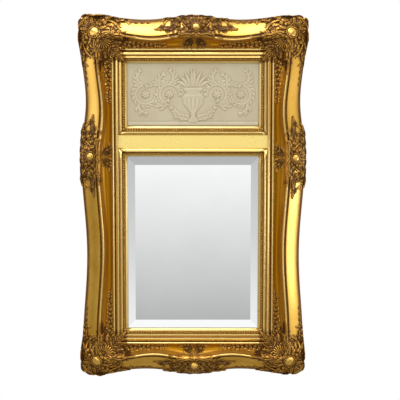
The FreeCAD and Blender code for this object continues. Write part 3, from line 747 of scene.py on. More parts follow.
def overlay(relief, form, trench=1.4, keep=0.25):
    # lays a form over what is there, which sinks under it and in a narrow trench round it
    edge = np.clip((form + trench) / trench, 0, 1)
    return np.maximum(relief - (1 - keep) * edge * np.maximum(relief, 0), form)


def layAll(relief, form, p, q, places):
    # one form after the other, each over those before it
    for place in places:
        relief = overlay(relief, form(p, q, *place))
    return relief


def blurred(field, cells):
    # smooths a grid by a bell curve of that many cells
    rows, columns = field.shape
    pad = int(3 * cells)
    wide = np.pad(field, pad, mode="edge")
    fy, fx = np.fft.fftfreq(wide.shape[0])[:, None], np.fft.rfftfreq(wide.shape[1])[None, :]
    bell = np.exp(-2 * (np.pi * cells) ** 2 * (fx ** 2 + fy ** 2))
    return np.fft.irfft2(np.fft.rfft2(wide) * bell, wide.shape)[pad:pad + rows, pad:pad + columns]


# what all the castings share
casting = {"step": 0.78, "rim": -1.1, "sunk": 1.6, "thinnest": 0.2, "pitch": 6.4, "rope": 2.0, "ropeRise": 3.6}


def castShell(x, z, top, under, keep, dirt):
    # a closed casting: the kept cells of a grid above, the same below, and walls round them
    rows, columns = top.shape
    count = rows * columns
    cells = keep[:-1, :-1] & keep[1:, :-1] & keep[1:, 1:] & keep[:-1, 1:]
    corners = gridIds(rows, columns, False).reshape(rows - 1, columns - 1, 4)
    padded = np.pad(cells, 1)
    upper = corners[cells]
    faces = [upper, upper[:, ::-1] + count]
    for k, (i, j) in enumerate(((1, 0), (2, 1), (1, 2), (0, 1))):
        bare = corners[cells & ~padded[i:i + rows - 1, j:j + columns - 1]]
        first, second = bare[:, k], bare[:, (k + 1) % 4]
        faces.append(np.stack([second, first, first + count, second + count], axis=1))
    used, faces = np.unique(np.concatenate(faces), return_inverse=True)
    top = np.maximum(top, under + casting["thinnest"])
    points = np.concatenate([onFrame(x, z, level).reshape(-1, 3) for level in (top, under)])[used]
    return points, outward(points, [faces.reshape(-1, 4)]), {"dirt": np.tile(dirt.ravel(), 2)[used]}


def castPiece(name, shell, *nodes):
    # a shell of points, faces and dirt with painted shade becomes a gilt piece that stands for its nodes
    meshPiece(name, *shell, ["giltCast"], slot="gilt_cast", nodes=nodes)


def castDirtAndShade(top, relief, step, gem=-1.0):
    # darker where the casting lies below its surroundings, as patina in the hollows plus painted shade, with the
    # crests left light as a painted highlight; gem is above 0 on a cabochon, which gets painted shade round its rim
    # and a painted highlight on its top
    hollow = blurred(top, 2.2 / step) - top
    broad = blurred(relief, 5.0 / step) - relief
    dirt = smooth(hollow, -0.9, 0.5) * 0.8 + smooth(broad, -2.2, 1.2) * 0.4
    return np.clip(np.where(gem > 0.1, 0.6 * smooth(-gem, -1.5, -0.1) - 0.14, dirt), -0.2, 1.2)


def castGround(base, bed, step):
    # a casting bridges the grooves of the moulding under it: its highest parts are spread out and smoothed
    high = base
    for again in range(int(7 / step)):
        for axis in (0, 1):
            high = np.maximum(high, np.maximum(np.roll(high, 1, axis), np.roll(high, -1, axis)))
    return base + np.maximum(blurred(high, 4 / step) - base, 0) * smooth(bed, -2.0, -12.0)


def trimShell(x, z, relief, step, patinaAndShade):
    # low leaves laid straight on the rail
    base = frameHeight(x, z)
    # patina and painted shade from the hollows, plus the strip's even darkening
    dirt = castDirtAndShade(relief, relief, step) + patinaAndShade
    return castShell(x, z, base + relief, base - casting["sunk"], relief > casting["rim"], dirt)


def foliage(relief, p, q, bed, hub, span, seed):
    # small leaves on a shaken grid over the bed, most of them pointing away from the hub
    chance, pitch = np.random.default_rng(seed), casting["pitch"]
    spots = np.stack(np.meshgrid(np.arange(*span[0], pitch), np.arange(*span[1], pitch)), axis=-1).reshape(-1, 2)
    spots = spots + chance.uniform(-0.45, 0.45, spots.shape) * pitch
    draws = chance.uniform(-1, 1, (len(spots), 5))
    for (x, y), (turn, long, wide, rise, bend) in zip(spots, draws):
        if bed(np.array(x), np.array(y)) > -1.5:
            continue
        heading = math.degrees(math.atan2(y - hub[1], x - hub[0])) + 75 * turn
        place = (x, y, heading, 15 + 3 * long, 8.6 + 1.6 * wide, 3.2 + 0.8 * rise, 70 * bend, 3)
        relief = overlay(relief, leafForm(p, q, *place))
    return relief


def carve(relief, p, q, piece):
    # a leaf: place, heading, length, width, rise, bend, lobes; a band has no lobes
    # a volute: place, radius, rise, start, hand; a flower: place, radius, rise, petals, turn
    for form, kind in ((leafForm, "leaves"), (bandForm, "bands"), (voluteForm, "volutes"), (flowerForm, "flowers")):
        relief = layAll(relief, form, p, q, piece[kind])
    return relief


def setGem(relief, p, q, piece):
    # a cabochon with a rope round it
    x, y, long, short, turn, rise = piece["gem"]
    rope, grow = casting["rope"], casting["rope"] + 1
    relief = overlay(relief, ovalForm(p, q, x, y, long + grow, short + grow, turn, casting["ropeRise"], rope))
    gem = ovalForm(p, q, x, y, long, short, turn, rise)
    return overlay(relief, gem, 1.0, 0.0), gem


# corner castings, drawn out from the corner of the lips, the same either side of the mitre
corner = {
    "span": (-58, 116), "crown": 58, "edgeHeight": 27, "middle": 46, "reach": 69,
    "domeAt": 66, "domeFade": (58, 26), "gem": (67, 66, 14.5, 11.5, -45, 6.5), "patinaAndShade": 0.08,
    "shell": (43, 43, 225, 28, 78, 9, 5.5), "fill": (55, 0.40, 50, 18), "fillFade": (66, 54),
    "ear": (-15, 50), "notch": (70, 6, 2), "rounding": (3.6, 26), "tipSpread": (44, 26, 20),
    "growth": ((48, 48), ((-30, 112), (-4, 114)), 7), "armDarkening": (0.3, -8, -22),
    "tip": [(20, 20, 225, 64, 36, 4.2, 0, 5), (10, 10, 225, 44, 15, 5.2, 0, 4)],
    "gaps": [(19, 87, 8.5, 8), (-1, 75, 11, 5.5)], "bedEnd": (-24, -7, -30),
    "leaves": [
        (88, 84, 52, 28, 14, 4.6, 0, 4), (74, 88, 92, 24, 13, 4.5, 8, 4),
        (60, 86, 120, 26, 13, 4.5, 10, 4), (58, 97, 160, 26, 12, 4.6, 50, 4),
        (36, 105, 194, 24, 10, 4.4, -45, 4), (12, 105, 172, 24, 9, 4, 30, 4),
        (-8, 104, 188, 20, 8, 3.6, -20, 3), (42, 75, 156, 24, 10, 4.6, 60, 4),
        (42, 62, 182, 26, 13, 4.8, -55, 4), (18, 60, 158, 26, 12, 4.6, 50, 4),
        (-8, 58, 188, 26, 12, 4.4, -20, 4), (-22, 55, 183, 34, 15, 4.2, 0, 5),
        (32, 40, 186, 26, 13, 4.4, -55, 4), (10, 36, 164, 24, 12, 4.2, 50, 4),
        (28, 22, 196, 24, 12, 4, -55, 4), (8, 26, 190, 24, 11, 3.8, 45, 4),
        (64, 50, 105, 16, 9, 4, 0, 3), (54, 78, 196, 26, 10, 4.6, -60, 4),
    ],
    "bands": [(112, 62, 90, 80, 6, 4.4, 90), (34, 98, 180, 66, 5, 5, 84),
              (44, 64, 150, 34, 4.6, 4.8, 70)],
    "volutes": [(-4, 66, 5, 5.2, 40, 1), (35, 93, 5, 5.2, 0, -1), (12, 66, 6, 5, 40, 1)],
    "ears": {"topLeft": (4.5, 6), "topRight": (6, 2.5), "bottomLeft": (6, 3.5), "bottomRight": (4, 1.5)},
    "flowers": [(26, 54, 5.5, 4.8, 6, 10), (53, 50, 4.5, 4.4, 5, 0), (49, 88, 5, 5.4, 6, 0)],
}


def gapsOut(a, b, gaps, out):
    # openings that leave the panel bare
    for x, y, wide, high in gaps:
        out = np.maximum(out, (1 - np.hypot((a - x) / wide, (b - y) / high)) * min(wide, high))
    return out


def armEnd(across):
    # an arm of the casting ends sooner on the panel than in the hollow or along the outer edge
    hollow, panel, edge = corner["bedEnd"]
    return hollow + (panel - hollow) * smooth(across, 58.0, 66.0) + (edge - panel) * smooth(across, 93.0, 97.0)


def cornerBed(p, q):
    # how far outside the bed of the casting a point lies
    out = np.maximum(np.maximum(armEnd(q) - p, armEnd(p) - q), (-4 - p - q) * 0.7)
    return gapsOut(q, p, corner["gaps"], gapsOut(p, q, corner["gaps"], out))


def cornerRelief(p, q):
    # both sides of the mitre are carved alike; the tip leaves, the shell and the cabochon lie over them
    def half(x, y):  # the bed on one side of the mitre
        return np.maximum(cornerBed(x, y), x - y)

    relief = np.clip(-5.0 - cornerBed(p, q), -2.0, 0.4)
    for a, b in ((p, q), (q, p)):
        relief = carve(foliage(relief, a, b, half, *corner["growth"]), a, b, corner)
    relief = layAll(relief, leafForm, p, q, corner["tip"])
    relief = overlay(relief, shellForm(p, q, *corner["shell"]))
    return setGem(relief, p, q, corner)


cornerLine = np.arange(*corner["span"], casting["step"])
cornerPlan = np.meshgrid(cornerLine, cornerLine, indexing="ij")
cornerForms = cornerRelief(*cornerPlan)


def makeCorner(row, side, signX, signZ):
    # the relief on a ground that bridges the moulding, with a dome under the cabochon and a fill behind the shell
    p, q = cornerPlan
    relief, gem = cornerForms
    x, z = signX * (halfWide + p), signZ * (halfTall + q)
    base, bed = frameHeight(x, z), cornerBed(p, q)
    away, edge = railField(x, z)[::2]
    long, wide, scale = corner["tipSpread"]
    onTip = np.hypot((p + q + 6) / long, (p - q) / wide) * scale - scale  # below 0 under the leaf on the inner corner
    ground = castGround(base, np.minimum(bed, onTip), casting["step"])
    u, v = (np.clip((way - corner["middle"]) / corner["reach"], -1, 1) for way in (p, q))
    dome = corner["edgeHeight"] + (corner["crown"] - corner["edgeHeight"]) * (1 - u ** 2) * (1 - v ** 2)
    inner = np.hypot(np.maximum(corner["domeAt"] - p, 0), np.maximum(corner["domeAt"] - q, 0))
    high, slope, middle, level = corner["fill"]  # the hollows are filled behind the shell
    filled = high - slope * np.maximum(np.hypot(p - middle, q - middle) - level, 0)
    inBed = smooth(np.maximum(p, q), *corner["fillFade"]) * smooth(bed, 0.0, -16.0)
    for fill, share in ((dome, smooth(inner, *corner["domeFade"])), (filled, inBed)):
        ground = ground + np.maximum(fill - ground, 0) * share
    ground = ground + (blurred(ground, 8 / casting["step"]) - ground) * smooth(gem, -1.0, 0.5)
    ground = np.where(away > edge - 2, np.maximum(ground, rail["noseHeight"]), ground)
    sideways, upwards = corner["ears"][row + side]
    most = sideways + (upwards - sideways) * smooth(q - p, -8.0, 8.0)
    at, narrow, deep = corner["notch"]
    along = np.minimum(p, q)
    overhang = 0.6 + most * smooth(along, *corner["ear"]) - deep * np.exp(-((along - at) / narrow) ** 2)
    least, spread = corner["rounding"]
    overhang = overhang - least * smooth(np.abs(p - q), spread, 0.0)
    keep = (relief > casting["rim"]) & (away < edge + overhang)
    under = np.maximum(np.minimum(base, ground), rail["noseUnder"]) - casting["sunk"]
    # patina and painted shade from the hollows and round the cabochon, a small even darkening off the cabochon, and
    # the arms darker towards their ends
    dirt = castDirtAndShade(ground + relief, relief, casting["step"], gem) + corner["patinaAndShade"] * (gem < 0)
    armDark, start, end = corner["armDarkening"]
    shell = castShell(x, z, ground + relief, under, keep, dirt + armDark * smooth(along, start, end))
    castPiece(f"{row}{side}Corner", shell, f"{row}_{side.lower()}_corner_ornament")


# leaf garlands in the hollows and along the outer edge, either side of each corner casting
garland = {
    "step": 0.9, "hollowLine": 28.5, "hollowFrom": -8.0, "hollowTo": -134.0, "links": 13, "leaf": (24.0, 16.0, 4.2),
    "lean": 14.0, "bend": 20.0, "fan": (2.6, -2.9), "edgeFrom": -14.0, "edgeTo": -84.0, "edgeLinks": 6,
    "edgeLeaf": (19.0, 11.0, 3.0), "edgeInset": 8.0,
    "strips": [  # in the hollow or not, the way along, the way across, patina and painted shade; the edge strip is darkened against the light from above
        (True, (-142.0, 8.0), (14.0, 42.0), 0.06), (False, (-98.0, 0.0), (-8.0, 7.0), 0.65),
    ],
}


def hollowGarland(a, b):
    # pairs of leaves and buds, smaller towards the end
    relief = np.full(a.shape, -2.0)
    length, width, rise = garland["leaf"]
    for k in range(garland["links"]):
        share, hand = k / (garland["links"] - 1), 1 if k % 2 else -1
        at = garland["hollowFrom"] + (garland["hollowTo"] - garland["hollowFrom"] - length) * share
        size, lean = 1.1 - 0.5 * share, garland["lean"] * hand
        middle = garland["hollowLine"] + 1.5 * math.cos(2.1 * k) - 2.5 * share
        places = [(at + 6, middle, 180 - lean, length * size, width * size, rise * size, garland["bend"] * hand, 4)]
        for fan in garland["fan"]:
            places.append((at + 4, middle, 180 + fan * lean, length * 0.66 * size, width * 0.7 * size,
                           rise * 0.9 * size, 0, 3))
        relief = layAll(relief, leafForm, a, b, places)
        relief = overlay(relief, flowerForm(a, b, at, middle + lean * 0.16, 5.4 * size, 3.8 * size, 5, 30 * k))
    return relief


def edgeGarland(a, b):
    # single leaves in a row, smaller towards the end
    relief = np.full(a.shape, -2.0)
    length, width, rise = garland["edgeLeaf"]
    for k in range(garland["edgeLinks"]):
        share = k / (garland["edgeLinks"] - 1)
        at = garland["edgeFrom"] + (garland["edgeTo"] - garland["edgeFrom"] - length) * share
        size = 1 - 0.35 * share
        relief = overlay(relief, leafForm(a, b, at + 5, 0.0, 180, length * size, width * size, rise * size, 0, 3))
    return relief


def makeGarlands(name, signX, signZ):
    # for each of the two rails at a corner, a strip in the hollow and one along the outer edge
    def place(upright, along, out):
        x, z = (out, along) if upright else (along, out)
        return signX * (halfWide + x), signZ * (halfTall + z)

    shells, step = [], garland["step"]
    for upright in (False, True):
        for hollow, length, across, patinaAndShade in garland["strips"]:
            a, b = np.meshgrid(np.arange(*length, step), np.arange(*across, step), indexing="ij")
            out = b if hollow else np.full(a.shape, rail["width"])
            for again in range(0 if hollow else 3):  # the outer strip follows the waved edge
                out = railField(*place(upright, a, out))[2] - garland["edgeInset"] + b
            relief = hollowGarland(a, b) if hollow else edgeGarland(a, b)
            shells.append(trimShell(*place(upright, a, out), relief, step, patinaAndShade))
    castPiece(name, joinShells(shells))


for row, signZ in (("top", 1), ("bottom", -1)):
    for side, signX in (("Left", -1), ("Right", 1)):
        makeCorner(row, side, signX, signZ)
        makeGarlands(f"{row}{side}Garlands", signX, signZ)
print("corner castings done")


# centre castings and the sprays in the hollow below them; the second half is the mirror of the first
centre = {
    "plan": (126, 40, 114), "sprayPlan": (50, 10, 58), "gem": (0, 80, 11, 9.5, 0, 6),
    "body": (66, 59, 114), "arm": (100, 74, 9, 0.12, 62), "edge": (86, 97, 0.05),
    "crown": 48, "crownSpread": (30, 17), "overhang": (3.6, 66, 16, 98), "ripple": (1.6, 9),
    "growth": ((0, 74), ((0, 100), (60, 114)), 11), "armDarkening": 0.3,
    # the values per side paint shade: the top casting, lit most from above, is darkened most
    "plate": (52, 57, 9, 8, 62.2), "patinaAndShade": {"top": 0.41, "bottom": 0.23, "left": 0.24, "right": 0.15},
    "gaps": [(37, 87, 4, 7.5), (56, 69, 7, 5), (71, 88, 6.5, 9)],
    "leaves": [
        (4, 95, 78, 18, 9, 4, 0, 3), (11, 92, 50, 22, 9, 4, -20, 4),
        (20, 103, 4, 42, 8, 4.2, -12, 5), (54, 104, -6, 46, 8, 4, -10, 5),
        (14, 82, 18, 24, 10, 4.4, 25, 4), (12, 69, -14, 34, 10, 4.2, 24, 4),
        (44, 88, -34, 30, 10, 4.2, 16, 4), (60, 75, -3, 48, 16, 5, 3, 7),
        (100, 72, 118, 34, 9, 4.2, 14, 4), (92, 73, 0, 29, 10.5, 4.6, 0, 3),
        (56, 58, -12, 28, 10, 4, 10, 4), (62, 60, -52, 20, 9, 3.8, 14, 3),
    ],
    "bands": [(5, 55, 30, 50, 3.6, 3.4, -60), (24, 76, 30, 34, 4, 4.8, 40)],
    "volutes": [
        (7, 54, 4, 3.6, 0, 1), (51, 54.5, 4.4, 4, 180, -1), (25, 93, 6, 5, 40, 1),
        (44, 99, 5.5, 5, 200, -1), (27, 74, 5.5, 5.2, 90, -1), (58, 86, 5, 4.8, 0, 1),
        (14, 103, 4.5, 4.6, 160, 1), (70, 99, 4.5, 4.6, 300, -1), (44, 74, 4.5, 4.8, 30, 1),
    ],
    "flowers": [(66, 52, 5, 4.4, 6, 0), (36, 96, 3.6, 4.8, 5, 0)],
    "spray": [
        (4, 40, -84, 26, 9, 3.4, 14, 3), (6, 46, -26, 40, 12, 3.8, -24, 4),
        (6, 44, -44, 36, 11, 3.8, -12, 4), (6, 42, -64, 30, 10, 3.6, 10, 4),
        (26, 30, -26, 20, 9, 3.6, 40, 3), (9, 48, -6, 26, 8, 3.2, -40, 3),
    ],
    "sprayBuds": ((20, 32, 5.5, 4.6, 5, 20), (0, 47, 6, 4.4, 6)),
    "shoulder": {"top": -3.6, "bottom": -1.6, "left": 1.6, "right": 1.6},
    "shift": {"top": 9, "bottom": 4, "left": 8, "right": 3},
}


def centreBed(p, q):
    # the body, the arm to the leaf tip and the arm along the outer edge
    a = np.abs(p)
    long, inner, outer = centre["body"]
    reach, line, half, taper, start = centre["arm"]
    length, foot, lean = centre["edge"]
    body = np.maximum(a - long, np.maximum(inner - q, q - outer))
    arm = np.maximum(a - reach, np.abs(q - line) - (half - taper * np.maximum(a - start, 0)))
    edge = np.maximum(a - length, np.maximum(foot + lean * a - q, q - outer))
    return gapsOut(a, q, centre["gaps"], np.minimum(body, np.minimum(arm, edge)))


def centrePlate(p, q):
    # a smooth plate over the ridge: how far outside it a point lies, and its arched height
    long, at, inner, outer, top = centre["plate"]
    w = np.where(q < at, (at - q) / inner, (q - at) / outer)
    return np.maximum(np.abs(p) - long, (w - 1) * outer), top - np.where(q < at, 15.0, 5.0) * np.minimum(w, 2) ** 2


def centreRelief(p, q):
    # the halves are carved as mirrors of each other over the bed and the plate, with the cabochon on top
    def half(x, y):  # the bed to one side of the middle
        return np.maximum(centreBed(x, y), -2 - x)

    relief = np.clip(-4.0 - centreBed(p, q), -2.0, 0.4)
    relief = np.maximum(relief, np.where(centrePlate(p, q)[0] < 0, 0.3, -2.0))
    for a in (p, -p):
        relief = carve(foliage(relief, a, q, half, *centre["growth"]), a, q, centre)
    return setGem(relief, p, q, centre)


def sprayRelief(p, q):
    # leaves and a bud to either side, and a bud in the middle
    relief = np.full(p.shape, -2.0)
    sideBud, middleBud = centre["sprayBuds"]
    for a in (p, -p):
        relief = layAll(relief, leafForm, a, q, centre["spray"])
        relief = overlay(relief, flowerForm(a, q, *sideBud))
    return overlay(relief, flowerForm(p, q, *middleBud))


def plan(wide, low, high):
    # a grid of ways along the rail and ways out from the lip
    step = casting["step"]
    return np.meshgrid(np.arange(-wide, wide + step, step), np.arange(low, high, step), indexing="ij")


centrePlan, sprayPlan = plan(*centre["plan"]), plan(*centre["sprayPlan"])
centreForms, sprayForm = centreRelief(*centrePlan), sprayRelief(*sprayPlan)
lobe = rail["sideLobe"]
centreSides = {  # where a way along the rail and a way out from the lip lie
    "top": lambda p, q: (p, halfTall + q), "bottom": lambda p, q: (p, -halfTall - q),
    "left": lambda p, q: (-halfWide - q, lobe + p), "right": lambda p, q: (halfWide + q, lobe + p),
}


def makeCentre(side, place):
    # the relief on a ground that bridges the moulding, with a bell-shaped swell under the cabochon and a plate below
    p, q = centrePlan
    relief, gem = centreForms
    a, shift, patinaAndShade = np.abs(p), centre["shift"][side], centre["patinaAndShade"][side]
    x, z = place(p + shift, q)
    base = frameHeight(x, z)
    away, edge = railField(x, z)[::2]
    wide, deep = centre["crownSpread"]
    swell = np.exp(-((p / wide) ** 2 + ((q - centre["gem"][1]) / deep) ** 2))
    ground = castGround(base, centreBed(p, q), casting["step"])
    ground = np.where(away > edge - 2, np.maximum(ground, rail["noseHeight"]), ground)
    ground = ground + np.maximum(centre["crown"] - base, 0) * swell * (away < edge + 6)
    outside, plate = centrePlate(p, q)
    ground = np.where(outside < 0, np.maximum(ground, plate), ground)
    least, at, spread, end = centre["overhang"]
    ripple, pitch = centre["ripple"]
    overhang = least + ripple * np.abs(np.sin(p / pitch)) - ripple / 2
    overhang = overhang + centre["shoulder"][side] * np.exp(-((a - at) / spread) ** 2) - 4 * smooth(a, end - 12, end)
    keep = (relief > casting["rim"]) & (away < edge + overhang)
    under = np.maximum(base, rail["noseUnder"]) - casting["sunk"]
    # painted shade per side as above; the arms get their own darkening
    onArm = smooth(a, 58.0, 66.0) * smooth(q, 90.0, 82.0)
    dirt = castDirtAndShade(ground + relief, relief, casting["step"], gem) + patinaAndShade * (gem < 0)
    dirt = dirt + (centre["armDarkening"] - patinaAndShade / 2) * onArm
    # the plate is made lighter, with less patina and less painted shade
    dirt = dirt - 0.5 * smooth(outside, 0.0, -3.0) * smooth(relief, 1.2, 0.4)  # the plate is clean
    castPiece(f"{side}Centre", castShell(x, z, ground + relief, under, keep, dirt), f"{side}_centre_ornament")
    p, q = sprayPlan
    spray = trimShell(*place(p + shift / 2, q), sprayForm, casting["step"], patinaAndShade)
    castPiece(f"{side}Spray", spray, f"{side}_hollow_spray")


for side, place in centreSides.items():
    makeCentre(side, place)
print("centre castings done")


# the relief plaque: an urn between scrolling leaves
plaque = {
    "step": 1.0, "border": 5.0, "face": 22.0, "groundRise": 2.0, "groundHeight": 6.0, "relief": 3.0, "middle": 79.5,
    "leaf": (7.5, 17.0), "leafPitch": 11.0, "bud": 5.0, "rosettes": (68.0, 137.0), "rosetteRadius": 12.0,
    "scrollRadius": 31.0, "stem": 3.6, "recessDirtAndShade": 0.7,
    "urn": [(15, 0), (15, 6), (6, 16), (8, 28), (28, 52), (31, 72), (20, 86), (27, 93), (27, 100)],
}


def alongArc(x, y, heading, length, bend, share):
    # where an arc has come to after a share of its length, and where it heads there
    swing = math.radians(bend) * share
    chord = length * share * np.sinc(swing / 2 / np.pi)
    angle = math.radians(heading) + swing / 2
    return x + chord * math.cos(angle), y + chord * math.sin(angle), heading + bend * share


def plaqueRelief(x, z):
    # leaves stand in pairs along each stem, which is an arc; the urn is half an ellipse across, as wide as its profile
    # z counts up from the foot of the urn, and the right half is drawn for both
    relief = np.full(x.shape, 0.0)
    a = np.abs(x)
    middle = plaque["middle"]
    first, second = plaque["rosettes"]
    radius, stem, rise = plaque["scrollRadius"], plaque["stem"], plaque["relief"]
    stems = [  # two turns of the scroll, then the side shoots: place, heading, length, bend
        (first, middle - radius, 0, 4.7 * radius, 269), (second, middle + radius, 0, 4.7 * radius, -269),
        (16, 6, 20, 58, 34), (first + 4, middle + radius, 10, 62, -34),
        (first - 6, middle + radius, 140, 44, -110), (first + 26, middle + 20, 44, 46, 120),
        (second - 30, middle - 12, 250, 44, -120), (second + 16, middle + 28, 36, 46, 110),
        (second + 20, middle - 26, -70, 42, -110), (first + 8, middle - radius, -40, 40, 120),
        (8, 104, 70, 48, -150), (6, 6, 28, 46, -30),
    ]
    width, long = plaque["leaf"]
    for x0, z0, heading, length, bend in stems:
        relief = overlay(relief, bandForm(a, z, x0, z0, heading, length, stem, rise * 0.7, bend))
        count = int(length / plaque["leafPitch"])
        for k in range(count):
            share = (k + 0.6) / count
            px, pz, ahead = alongArc(x0, z0, heading, length, bend, share)
            size = 1.1 - 0.4 * share
            for hand in (1, -1):
                place = (px, pz, ahead + 46 * hand, long * size, width * size, rise * 0.85, -54.0 * hand, 3)
                relief = overlay(relief, leafForm(a, z, *place), 0.9, 0.4)
        endX, endZ, ahead = alongArc(x0, z0, heading, length, bend, 1.0)
        relief = overlay(relief, flowerForm(a, z, endX, endZ, plaque["bud"], rise, 5, ahead))
    for at in plaque["rosettes"]:
        relief = overlay(relief, flowerForm(a, z, at, middle, plaque["rosetteRadius"], rise * 1.2, 8, 22.5))
    spray = [(2.0 + 3.0 * k, 98.0, 88.0 - 15.0 * k, 54.0 - 4.0 * k, 11.0, rise * 1.1, -10.0 * k, 5) for k in range(4)]
    relief = layAll(relief, leafForm, a, z, spray[::-1])
    profile = np.array(plaque["urn"], dtype=float)
    half = np.interp(z, profile[:, 1], profile[:, 0])
    w = np.clip(a / half, 0, 1)
    inUrn = (z > 0) & (z < profile[-1, 1])
    ribs = 0.86 + 0.14 * np.cos(14 * np.arcsin(w)) * smooth(z, 30, 40) * smooth(z, 74, 66)
    hoops = 1 + 0.14 * np.exp(-((z - 16) / 2.5) ** 2) + 0.16 * np.exp(-((z - 76) / 2.5) ** 2)
    urn = np.where(inUrn & (a < half), (rise + 1.2) * np.sqrt(1 - w ** 2) * ribs * hoops,
                   -np.maximum(a - half, np.maximum(-z, z - profile[-1, 1])))
    return overlay(relief, urn, 1.6, 0.1)


def makePlaque():
    # the relief over a flat face, with straight walls back to a flat back
    low, high = nodeBox("relief_plaque")
    across = np.linspace(low[0], high[0], int((high[0] - low[0]) / plaque["step"]) + 1)
    up = np.linspace(low[2], high[2], int((high[2] - low[2]) / plaque["step"]) + 1)
    x, z = np.meshgrid(across, up, indexing="ij")
    sight = levels["plaque"][0] + slip["width"]
    foot = sight + plaque["border"] + plaque["groundHeight"]
    relief = plaqueRelief(x, z - foot)
    ground = smooth(z, foot + 0.6, foot - 0.6) * plaque["groundRise"]
    inside = smooth(halfWide - slip["width"] - np.abs(x), -0.5, 3.0) * smooth(z, sight - 0.5, sight + 3)
    inside = inside * smooth(levels["plaque"][1] - slip["width"] - z, -0.5, 3.0)
    relief = np.maximum(blurred(relief, 0.6), ground) * inside
    top = plaque["face"] + relief
    rows, columns = top.shape
    face = onFrame(x, z, top).reshape(-1, 3)
    ids = np.arange(rows * columns).reshape(rows, columns)
    rim = np.concatenate([ids[:-1, 0], ids[-1, :-1], ids[:0:-1, -1], ids[0, :0:-1]])
    back = face[rim].copy()
    back[:, 1] = high[1]
    lower = np.arange(len(rim)) + rows * columns
    walls = np.stack([np.roll(rim, -1), rim, lower, np.roll(lower, -1)], axis=1)
    points = np.concatenate([face, back])
    faces = outward(points, [gridIds(rows, columns, False), walls, lower[None, ::-1]])
    # dirt and painted shade in the hollows of the relief
    hollow = blurred(relief, 2.6) - relief
    dirt = smooth(hollow, -0.6, 1.2) * plaque["recessDirtAndShade"]
    values = {"dirt": np.concatenate([dirt.ravel(), dirt.ravel()[rim]])}
    meshPiece("reliefPlaque", points, faces, values, ["castPlaster"], slot="plaque_cast", nodes=["relief_plaque"])


makePlaque()
print("plaque done")


# finishes of the solids that are carried over
def dressNode(name, finish):
    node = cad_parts[name]
    if not node.material_slots:
        node.data.materials.append(finishes[finish])
    for place in node.material_slots:
        place.material = finishes[finish]


carried = {
    "giltFlat": ["cross_rail"], "silveredGlass": ["mirror_glass"], "backPaint": ["mirror_silvering"],
    "hardboard": ["plaque_back_board", "mirror_back_board"], "railWood": ["cross_rail_dowels"],
    "keyWood": ["mitre_keys"], "felt": ["glass_pads"], "rubber": ["glass_setting_blocks", "wall_bumpers"],
    "steel": ["hanger_screws", "left_hanger_plate", "right_hanger_plate", "left_hanger_ring", "right_hanger_ring"],
    "brass": [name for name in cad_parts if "_button_" in name],  # the turn buttons and their screws
}
for finish, names in carried.items():
    for name in names:
        dressNode(name, finish)
print("carried over:", sum(len(names) for names in carried.values()), "nodes")


# floor, light and camera
studio = {
    "floorDrop": 0.75, "floorHalf": 2.0, "tilt": 9.5, "distance": 5.6, "lens": 173.1, "shift": (0.0175, -0.0115),
    "boxTint": (0.93, 1.0, 1.3), "tinted": ("topBox", "leftBox", "rightStrip"), "floorGlow": 0.9,
    "room": (0.32, 0.8, 0.76), "roomTint": (0.945, 0.64),
    "roomMiddle": [  # brightness of the front of the room from low to high, seen in the glass
        (0.0, 0.45), (0.05, 0.95), (0.08, 1.06), (0.18, 0.80), (0.336, 0.48), (0.42, 0.76), (0.512, 1.06),
        (0.60, 0.95), (0.70, 0.68), (0.786, 0.49), (0.9, 1.0), (1.0, 1.6),
    ],
    "roomEdges": [
        (0.0, 0.45), (0.05, 0.95), (0.08, 1.0), (0.336, 0.94), (0.43, 0.70), (0.512, 0.58), (0.75, 0.48),
        (0.9, 1.0), (1.0, 1.6),
    ],
    "lamps": {  # place, the point it looks at, brightness of its face, width and height
        "key": ((1.3, -1.9, 2.3), (0, 0, 0), 7.6, 1.0, 1.0), "fill": ((-2.2, -2.2, 0.8), (0, 0, 0), 1.3, 1.4, 1.4),
        "topBox": ((-0.55, -0.2, 1.7), (-0.55, -0.2, 0), 3.9, 1.4, 1.4),
        "leftBox": ((-1.2, -0.3, 0.40), (0, -0.3, 0.40), 1.1, 1.5, 0.76),
        "rightBox": ((1.2, 0.0, -0.05), (0, 0.0, -0.05), 0.57, 0.9, 1.6),
        "rightStrip": ((1.19, -0.3, -0.23), (0, -0.3, -0.23), 2.6, 1.5, 0.34),
    },
}


def makeFloor():
    made = bpy.data.materials.new("paleFloor")
    made.use_nodes = True
    tree = made.node_tree
    wire = Wire(tree)
    tree.nodes.remove(tree.nodes["Principled BSDF"])
    dull = wire.node("ShaderNodeBsdfDiffuse", None, {"Color": (0.82, 0.82, 0.81, 1)})
    white = wire.node("ShaderNodeEmission", None, {"Color": (1, 1, 1, 1), "Strength": 1.0})
    seen = wire.node("ShaderNodeLightPath", out="Is Camera Ray")
    both = wire.node("ShaderNodeMixShader", None, {0: seen * studio["floorGlow"], 1: dull, 2: white})
    tree.links.new(both.socket, tree.nodes["Material Output"].inputs[0])
    half, level = studio["floorHalf"], cadBox[0][2] - studio["floorDrop"]
    mesh = bpy.data.meshes.new("floor")
    mesh.from_pydata([(-half, -half, level), (half, -half, level), (half, half, level), (-half, half, level)],
                     [], [(0, 1, 2, 3)])
    mesh.materials.append(made)
    floor = addObject("floor", mesh)
    floor.visible_glossy = False  # the gilding shows the room's own tone below


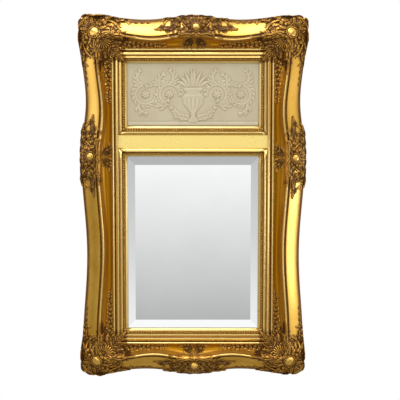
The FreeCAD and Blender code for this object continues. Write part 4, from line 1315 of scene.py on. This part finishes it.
def makeWorld():
    world = bpy.data.worlds.new("studio")
    scene.world = world
    world.use_nodes = True
    tree = world.node_tree
    wire = Wire(tree)
    way = wire.node("ShaderNodeTexCoord", out="Generated")
    split = wire.node("ShaderNodeSeparateXYZ", None, {0: way})
    right, back, up = (Wire(tree, part) for part in split.socket.node.outputs)
    base, above, behind = studio["room"]
    room = base + up.step(0.2, 0.9) * above + back.step(0.15, 0.6) * behind
    strip = (up + 0.4) * 2.0  # how high the front of the room is seen, for the glass

    def greys(stops):
        stops = [(place, (tone, tone, tone, 1)) for place, tone in stops]
        return wire.node("ShaderNodeValToRGB", {"stops": stops}, {0: strip})

    aside = wire.maths("ABSOLUTE", right, 0.0).step(0.05, 0.12)
    front = mixColour(wire, aside, greys(studio["roomMiddle"]), greys(studio["roomEdges"]))
    green, blue = studio["roomTint"]
    grade = wire.node("ShaderNodeCombineColor", None, {0: room, 1: room * green, 2: room * blue})
    light = mixColour(wire, (0 - back).step(0.80, 0.93), grade, front)
    seen = wire.node("ShaderNodeLightPath", out="Is Camera Ray")
    colour = mixColour(wire, seen, light, (1, 1, 1, 1))
    shader = tree.nodes["Background"]
    tree.links.new(colour.socket, shader.inputs["Color"])
    shader.inputs["Strength"].default_value = 1.0


def makeLamp(name, place, aim, bright, wide, high):
    lamp = bpy.data.lights.new(name, "AREA")
    lamp.shape = "RECTANGLE"
    lamp.size, lamp.size_y = wide, high
    lamp.energy = bright * wide * high * math.pi
    if name in studio["tinted"]:
        lamp.color = studio["boxTint"]
    made = addObject(name, lamp)
    made.location = place
    made.rotation_euler = (Vector(aim) - Vector(place)).to_track_quat("-Z", "Y").to_euler()
    made.visible_camera = False


def makeCamera():
    camera = bpy.data.cameras.new("camera")
    camera.lens = studio["lens"]
    camera.shift_x, camera.shift_y = studio["shift"]
    made = addObject("camera", camera)
    tilt = math.radians(studio["tilt"])
    made.location = (0, -studio["distance"] * math.cos(tilt), studio["distance"] * math.sin(tilt))
    made.rotation_euler = (math.pi / 2 - tilt, 0, 0)
    scene.camera = made


makeFloor()
makeWorld()
for name, settings in studio["lamps"].items():
    makeLamp(name, *settings)
makeCamera()
scene.view_settings.view_transform = "Standard"
print("studio done")
